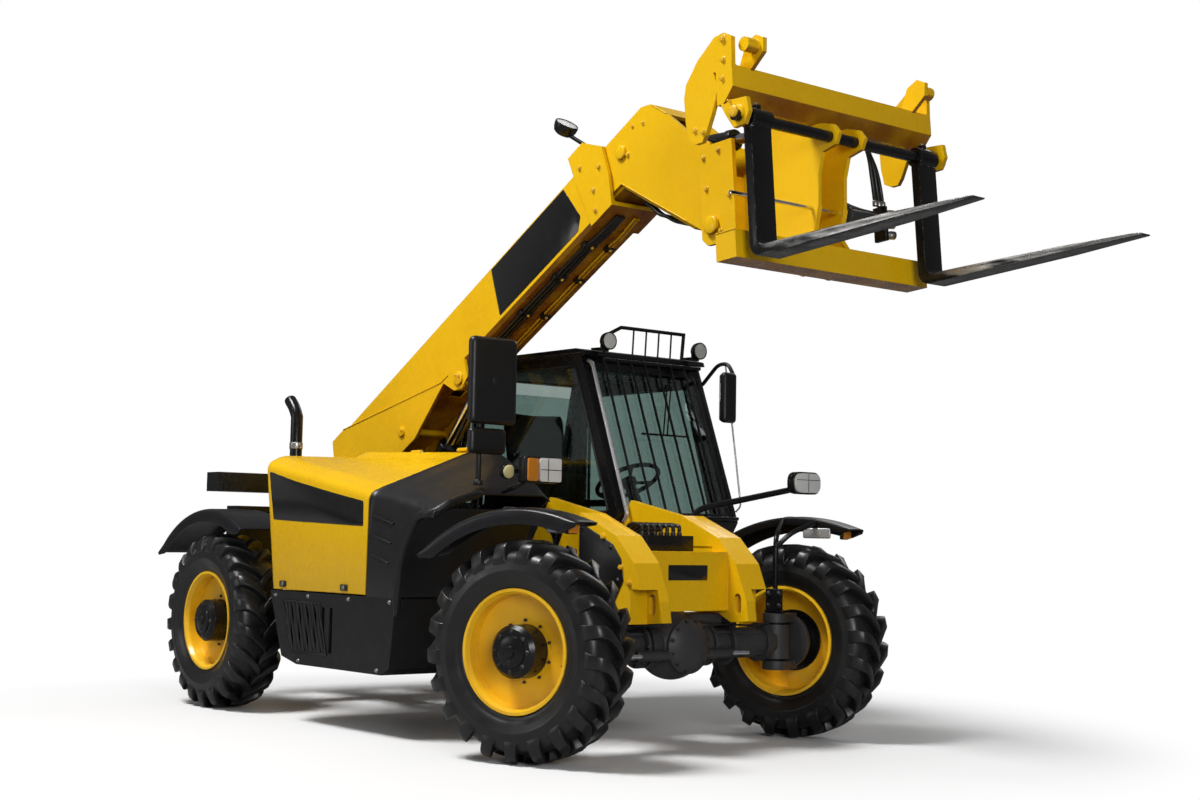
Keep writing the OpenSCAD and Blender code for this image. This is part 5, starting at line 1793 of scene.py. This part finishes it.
@dataclass
class Mirrors(CabPart):
    """The large right mirror with its lower one, and the slim left one on its bent arm."""

    def build(self) -> None:
        """Builds both mirrors."""
        shape = self.piece("mirror_heads", COVER)
        shape.pad((776, -788, 1532), (828, -512, 1958), 30)
        shape.panel((-772, 1548), (-528, 1942), 22, 771, 777, MIRROR)
        shape.pad((784, -788, 1387), (828, -572, 1513), 26)
        shape.panel((-774, 1400), (-586, 1500), 16, 780.5, 785, MIRROR)
        shape.turned([(24, 0), (24, 1.5)], (827, -640, 1745), X, steps=24)
        shape.tube([(800, -720, 1235), (800, -720, 1536)], 14, sides=18)
        shape.turned([(24, 0), (24, 22), (15, 26)], (800, -720, 1236), Z, steps=24)
        y, arm, roof = self.outer, self.outer + 26, self.roof
        shape.pipe([(430, y + 0.4, roof - 140), (430, arm, roof - 140), (560, arm, roof - 32),
                    (640, arm, roof - 32), (680, arm, roof - 92)], 11, 50)
        shape.pad((657, y - 58, 1642), (703, y + 43, 1923), 22)
        rod = [(618, arm, roof - 34), (640, y + 36, 1800), (744, y + 36, 1180), (744, y - 2, 1150)]
        shape.pipe(rod, 5, 40, RAIL, 10)
        shape.panel((y - 50, 1652), (y + 35, 1913), 16, 652, 658, MIRROR)
        shape.make(Slot.PLASTIC, bevel=1, replaces="mirrors")


@dataclass
class Lamps(CabPart):
    """Headlamps with their arms, indicators, the two roof work lamps and the rear clusters."""

    def right(self) -> None:
        """Builds the right headlamp with its indicator, side lamp and arm."""
        shape = self.piece("headlamp_right", BLACK)
        shape.pad((1012, -648, 1247), (1078, -442, 1373), 18)
        shape.panel((-648, 1248), (-442, 1372), 16, 1072, 1086)
        shape.panel((-572, 1256), (-450, 1364), 12, 1084, 1089, REFLECTOR)
        shape.panel((-641, 1256), (-580, 1364), 10, 1084, 1096, AMBER)
        shape.panel((-574, 1254), (-448, 1366), 12, 1093, 1104, LENS, soft=True)
        shape.box((1103, -450, 1308), (1105.5, -572, 1312))
        shape.box((1103, -530, 1258), (1105.5, -526, 1362))
        for z in (1290, 1330):
            shape.turned([(26, 0), (24, 3), (10, 4)], (1089, -512, z), X, REFLECTOR, 24)
            shape.turned([(8, 4), (6, 10), (3, 11)], (1089, -512, z), X, ZINC, 14)
        side, ahead = (972, -690, 1302), (1, 0, -0.1)
        shape.turned([(30, 0), (36, 6), (38, 30), (34, 34)], side, ahead, steps=28)
        shape.turned([(32, 30), (32, 38), (22, 45), (4, 47)], side, ahead, STRAW, 28)
        shape.pipe([(840, -600, 1209), (950, -590, 1238), (1010, -570, 1270), (1040, -560, 1288)], 12, 40)
        shape.box((1000, -690, 1292), (1016, -640, 1312))
        shape.make(Slot.LAMP, bevel=1, replaces="lamps")

    def left(self) -> None:
        """Builds the left headlamp on its long arm."""
        shape = self.piece("headlamp_left", BLACK)
        shape.pipe([(1150, 281, 1080), (1150, 330, 1080), (1150, 410, 1150), (1320, 930, 1266)], 16, 50)
        shape.turned([(24, 0), (24, 5), (19, 8)], (1150, 280.5, 1080), Y, ZINC, 24)
        shape.pad((1292, 882, 1238), (1346, 1078, 1354), 44)
        shape.panel((882, 1238), (1078, 1354), 46, 1338, 1352, steps=6)
        shape.panel((890, 1246), (1070, 1346), 42, 1349, 1354, REFLECTOR, 6)
        shape.panel((890, 1246), (1070, 1346), 42, 1358, 1366, LENS, 6, True)
        shape.box((1365.5, 978, 1248), (1367.5, 982, 1344))
        shape.box((1365.5, 893, 1310), (1367.5, 1067, 1313.5))
        for y in (945, 1015):
            shape.turned([(30, 0), (27, 3), (10, 3.5)], (1354, y, 1296), X, REFLECTOR, 24)
            shape.turned([(8, 3), (6, 8), (3, 9)], (1354, y, 1296), X, ZINC, 14)
        shape.make(Slot.LAMP, bevel=1)

    def top(self) -> None:
        """Builds the two roof work lamps and their brackets."""
        shape = self.piece("roof_work_lamps", BLACK)
        roof = self.roof
        for y in (300, 960):
            at = (500, y, roof + 35)
            shape.turned([(16.8, 0), (33.6, 2), (44.64, 17.5), (48, 35), (48, 50), (44.16, 51), (42.24, 47),
                          (41.28, 20), (9.6, 12.5)], at, X, steps=36)
            shape.turned([(40.8, 42), (37.44, 30), (24, 21), (7.2, 18)], at, X, REFLECTOR)
            shape.turned([(41.76, 45), (41.76, 49), (28.8, 51.5), (2, 52.5)], at, X, LENS)
            shape.turned([(7, 18), (7, 30), (3, 32.5)], at, X, ZINC, 14)
            bracket = [(402, roof - 3), (512, roof - 20), (515, roof + 4), (402, roof + 7)]
            shape.plate(closed_fillet(bracket, 4, 3), y - 12, y + 12)
            shape.box((498, y - 26, roof - 18), (510, y + 26, roof + 34))
        shape.make(Slot.LAMP, bevel=1)

    def rear(self) -> None:
        """Builds the rear lamp clusters on the crossbar and its plain plate."""
        shape = self.piece("rear_lamps", BLACK)
        for side in SIDES:
            y = side * 640
            shape.pad((-1986, y - 86, 1248), (-1972, y + 86, 1336), 8)
            for start, end, lens in ((-80, -28, RED), (-24, 24, AMBER), (28, 80, RED)):
                shape.pad((-1989, y + start, 1254), (-1980, y + end, 1330), 6, lens)
        shape.box((-1988, -170, 1245), (-1982, 170, 1335), PALE)
        shape.make(Slot.LAMP, bevel=1.5)

    def build(self) -> None:
        """Builds all lamps."""
        self.right()
        self.left()
        self.top()
        self.rear()


# ---- chassis and axles


@dataclass
class Running(Assembly):
    """Axle bolts, ribs, prop shafts, pipes and the fixings on the chassis."""

    rail_y: float = 280
    cheek_y: float = 400

    def axle(self, name: str, end: int) -> None:
        """Builds an axle's cover bolts, ribs and brake pipes.

        Args:
            name: The piece's name.
            end: +1 for the front axle, -1 for the rear one.
        """
        place = Matrix.Translation((AXLE_X * end, 0, WHEEL_Z)) @ Matrix.Diagonal((end, 1, 1, 1))
        shape = Shape(name, self.place() @ place, CAST)
        cover = [(118, 118), (130, 122), (130, 134), (122, 138), (96, 158), (40, 168), (10, 170)]
        shape.turned(cover, (0, 0, 0), X, steps=40)
        for a in spokes(12, 0.5):
            shape.bolt((138, *polar(116, a)), X, 15, NUTS)
        for side in SIDES:
            out = (0, side, 0)
            for y in (205, 330):
                shape.turned([(98, 0), (106, 3), (106, 17), (98, 20)], (0, side * y, 0), out, steps=40)
            for a in spokes(8):
                x, z = polar(95, a)
                shape.bolt((x, side * 226, z), out, 13, NUTS)
            for a in spokes(4, 0.5):
                rib = [(y, polar(r, a)) for r, y in ((84, 160), (78, 420), (70, 590))]
                shape.tube([(x, side * y, z) for y, (x, z) in rib], 9, sides=8)
            brake = [(60, 120, 110), (74, 220, 100), (74, 520, 84), (40, 600, 90)]
            shape.pipe([(x, side * y, z) for x, y, z in brake], 5, 20, NUTS)
            shape.turned([(34, -4), (34, 10), (28, 14), (8, 14)], (0, side * 710, 85), Z, steps=28)
        shape.pipe([(105, -300, -40), (120, -250, -40), (120, 250, -40), (105, 300, -40)], 24, 30)
        shape.tube([(120, -400, -40), (120, 400, -40)], 13, CHROME)
        shape.make(Slot.AXLE)

    def driveline(self) -> None:
        """Builds the gearbox between the rails and the two prop shafts."""
        shape = self.piece("driveline", CAST)
        shape.pad((-250, -150, 555), (120, 150, 860), 60)
        shape.turned([(70, 0), (70, 40), (45, 44), (45, 60)], (120, 0, 600), X, steps=28)
        shape.tube([(180, 0, 600), (1070, 0, 532)], 34, BLACK, 20)
        shape.turned([(48, 0), (48, 30), (38, 34)], (1040, 0, 534), (1, 0, -0.07), BLACK, 24)
        shape.tube([(-250, 0, 600), (-1110, 0, 512)], 34, BLACK, 20)
        shape.make(Slot.AXLE, bevel=4)

    def liners(self) -> None:
        """Builds the black splash plates on the outer faces of the front cheeks."""
        shape = self.piece("wheel_arch_liners", COVER)
        outline = [(1192, 1068), (1440, 966), (1500, 900), (1520, 800), (1440, 668), (1192, 684)]
        rounded = closed_fillet(outline, 22, 4)
        near, far = self.cheek_y + 0.5, self.cheek_y + 4
        for side in SIDES:
            shape.plate(rounded, side * near, side * far)
            for x, z in ((1215, 1040), (1425, 950), (1480, 800), (1425, 690), (1215, 705)):
                shape.bolt((x, side * far, z), (0, side, 0), 12, NUTS)
        shape.make(Slot.PLASTIC, bevel=1.5)

    def fixings(self) -> None:
        """Builds the pins, bolts, welds, front valve block with its hoses, and blank front plate."""
        shape = self.piece("chassis_fixings", PAINTED_BOLTS)
        for side in SIDES:
            out, rail = (0, side, 0), side * self.rail_y
            shape.turned([(66, -2), (66, 8), (60, 12), (12, 12)], (-1441, side * 291, 1271), out, YELLOW, 36)
            shape.bolt((-1441, side * 303, 1311), out, 20)
            for x, z in ((-1780, 700), (-1780, 860), (-1780, 1040), (-1500, 1330), (-1380, 1330),
                         (1120, 1000), (1150, 720)):
                shape.bolt((x, rail, z), out, 18)
            for x, z in ((1500, 860), (1560, 790), (1370, 1000)):
                shape.bolt((x, side * self.cheek_y, z), out, 22)
            shape.bead([(1535, side * 244, 925), (1535, side * 244, 660)], 5, YELLOW)
            shape.bead([(1200, side * 281, 1108), (1455, side * 281, 1004)], 5, YELLOW)
        shape.panel((-140, 800), (110, 872), 5, 1535.1, 1536, DECAL, 3)
        shape.box((1250, -150, 936), (1390, 150, 1010), BLACK)
        for y in range(-120, 121, 40):
            shape.turned([(13, 0), (13, 14), (9, 16), (9, 30)], (1320, y, 1010), Z, NUTS, 16)
            shape.pipe([(1320, y, 1032), (1320, y, 1056), (1240, y * 0.95, 1066), (1140, y * 0.85, 1020),
                        (1060, y * 0.8, 950)], 10, 26, HOSE)
        shape.make(Slot.YELLOW, bevel=0.8)

    def build(self) -> None:
        """Builds the running gear's pieces."""
        self.axle("axle_front_details", 1)
        self.axle("axle_rear_details", -1)
        self.driveline()
        self.liners()
        self.fixings()


# ---- stage


@dataclass(frozen=True)
class Lamp:
    """A soft lamp: where it hangs, what it shines at, its width and height, and its power."""

    name: str
    at: Point
    aim: Point
    size: Flat
    watts: float


@dataclass(frozen=True)
class Stage:
    """The pale floor, the lamps, the world and the camera."""

    eye: Point = (6.7015, -5.505, 0.9866)
    heading: float = 140.566
    pitch: float = 4.658
    roll: float = 1.024
    lens: float = 51.257
    clear: Flat = (2.1, 3.7)
    middle: Point = (-0.83, 0, 0)
    floor_half: float = 60
    floor_grey: float = 0.36
    floor_seen: float = 0.97
    ambient: float = 0.14
    window: float = 0.60
    lamps: Tuple[Lamp, ...] = (
        Lamp("key", (-1.5, -5.0, 10.0), (0, 0, 1.2), (3.2, 2.4), 1030),
        Lamp("side", (-4.5, -9.5, 3.2), (0, 0, 1.2), (3, 2.5), 60),
        Lamp("fill", (9.0, -4.5, 3.2), (0, 0, 1.2), (3, 3), 300),
        Lamp("rim", (-3.0, 8.0, 6.5), (0, 0, 1.5), (5, 3), 130))

    @staticmethod
    def add(name: str, data: bpy.types.ID) -> bpy.types.Object:
        """Puts a new object in the scene.

        Args:
            name: Its name.
            data: Its mesh, lamp or camera.

        Returns:
            The object.
        """
        item = bpy.data.objects.new(name, data)
        bpy.context.scene.collection.objects.link(item)
        return item

    def floor(self) -> None:
        """Builds the floor, which turns plain white away from the machine and its shadow."""
        made = bpy.data.materials.new("pale_floor")
        made.use_nodes = True
        g, nodes = Graph(made.node_tree), made.node_tree.nodes
        shader = nodes["Principled BSDF"]
        shader.inputs["Roughness"].default_value = 0.7
        shader.inputs["Specular IOR Level"].default_value = 0.1
        away = g.node("VectorMath", {0: g.coords(), 1: self.middle}, operation="SUBTRACT").outputs["Vector"]
        distance = g.node("VectorMath", {0: away}, operation="LENGTH").outputs["Value"]
        camera = g.node("LightPath").outputs["Is Camera Ray"]
        grey = g.calc("ADD", g.product(camera, self.floor_seen - self.floor_grey), self.floor_grey)
        g.feed(shader.inputs["Base Color"], grey)
        seen = g.product(g.span(distance, *self.clear), camera)
        mixed = g.node("MixShader", {0: seen, 1: shader.outputs[0], 2: g.node("Emission").outputs[0]})
        g.feed(nodes["Material Output"].inputs["Surface"], mixed.outputs[0])
        mesh, r = bpy.data.meshes.new("floor"), self.floor_half
        mesh.from_pydata([(-r, -r, 0), (r, -r, 0), (r, r, 0), (-r, r, 0)], [], [(0, 1, 2, 3)])
        mesh.materials.append(made)
        self.add("floor", mesh)

    def light(self, lamp: Lamp) -> None:
        """Adds one soft lamp.

        Args:
            lamp: What it is like.
        """
        data = bpy.data.lights.new(lamp.name, "AREA")
        data.shape, data.energy = "RECTANGLE", lamp.watts
        data.size, data.size_y = lamp.size
        item = self.add(lamp.name, data)
        item.location = lamp.at
        item.rotation_euler = (Vector(lamp.aim) - Vector(lamp.at)).to_track_quat("-Z", "Y").to_euler()

    def world(self) -> None:
        """Lights the scene softly from all round; the camera sees white, and glass sees a paler world."""
        world = bpy.data.worlds.new("studio")
        bpy.context.scene.world = world
        world.use_nodes = True
        g, back = Graph(world.node_tree), world.node_tree.nodes["Background"].inputs
        path = g.node("LightPath").outputs
        added = g.product(path["Is Camera Ray"], 1 - self.ambient)
        through = g.product(path["Is Transmission Ray"], self.window - self.ambient)
        g.feed(back["Strength"], g.calc("ADD", g.calc("ADD", added, through), self.ambient))
        back["Color"].default_value = (1, 1, 1, 1)

    def camera(self) -> None:
        """Places the camera."""
        yaw, pitch, roll = math.radians(self.heading), math.radians(self.pitch), math.radians(self.roll)
        look = Vector((math.cos(yaw) * math.cos(pitch), math.sin(yaw) * math.cos(pitch), math.sin(pitch)))
        right = look.cross(Vector(Z)).normalized()
        up = right.cross(look)
        across = right * math.cos(roll) + up * math.sin(roll)
        above = up * math.cos(roll) - right * math.sin(roll)
        data = bpy.data.cameras.new("camera")
        data.lens, data.sensor_width, data.clip_end = self.lens, 36, 200
        item = self.add("camera", data)
        turn = Matrix((across, above, -look)).transposed().to_4x4()
        item.matrix_world = Matrix.Translation(self.eye) @ turn
        bpy.context.scene.camera = item

    def build(self) -> None:
        """Builds the stage."""
        bpy.context.scene.view_settings.view_transform = "Standard"
        self.floor()
        for lamp in self.lamps:
            self.light(lamp)
        self.world()
        self.camera()


def main() -> None:
    """Builds the machine's looks in order."""
    logging.basicConfig(level=logging.INFO, format="%(name)s: %(message)s")
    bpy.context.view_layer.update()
    layout = Layout(frame["record"])
    Stage().build()
    CadFinishes().apply()
    for reach in Reach:
        for hand in Hand:
            Wheel(layout, reach, hand).build()
            Mudguard(layout, reach, hand).build()
    for assembly in (Pod, Engine, Exhaust, Boom, Hitch, Rams, Cab, Mirrors, Lamps, Running):
        assembly(layout).build()
    for hand in Hand:
        Fork(layout, hand).build()
    bpy.context.view_layer.update()


if __name__ == "__main__":
    main()
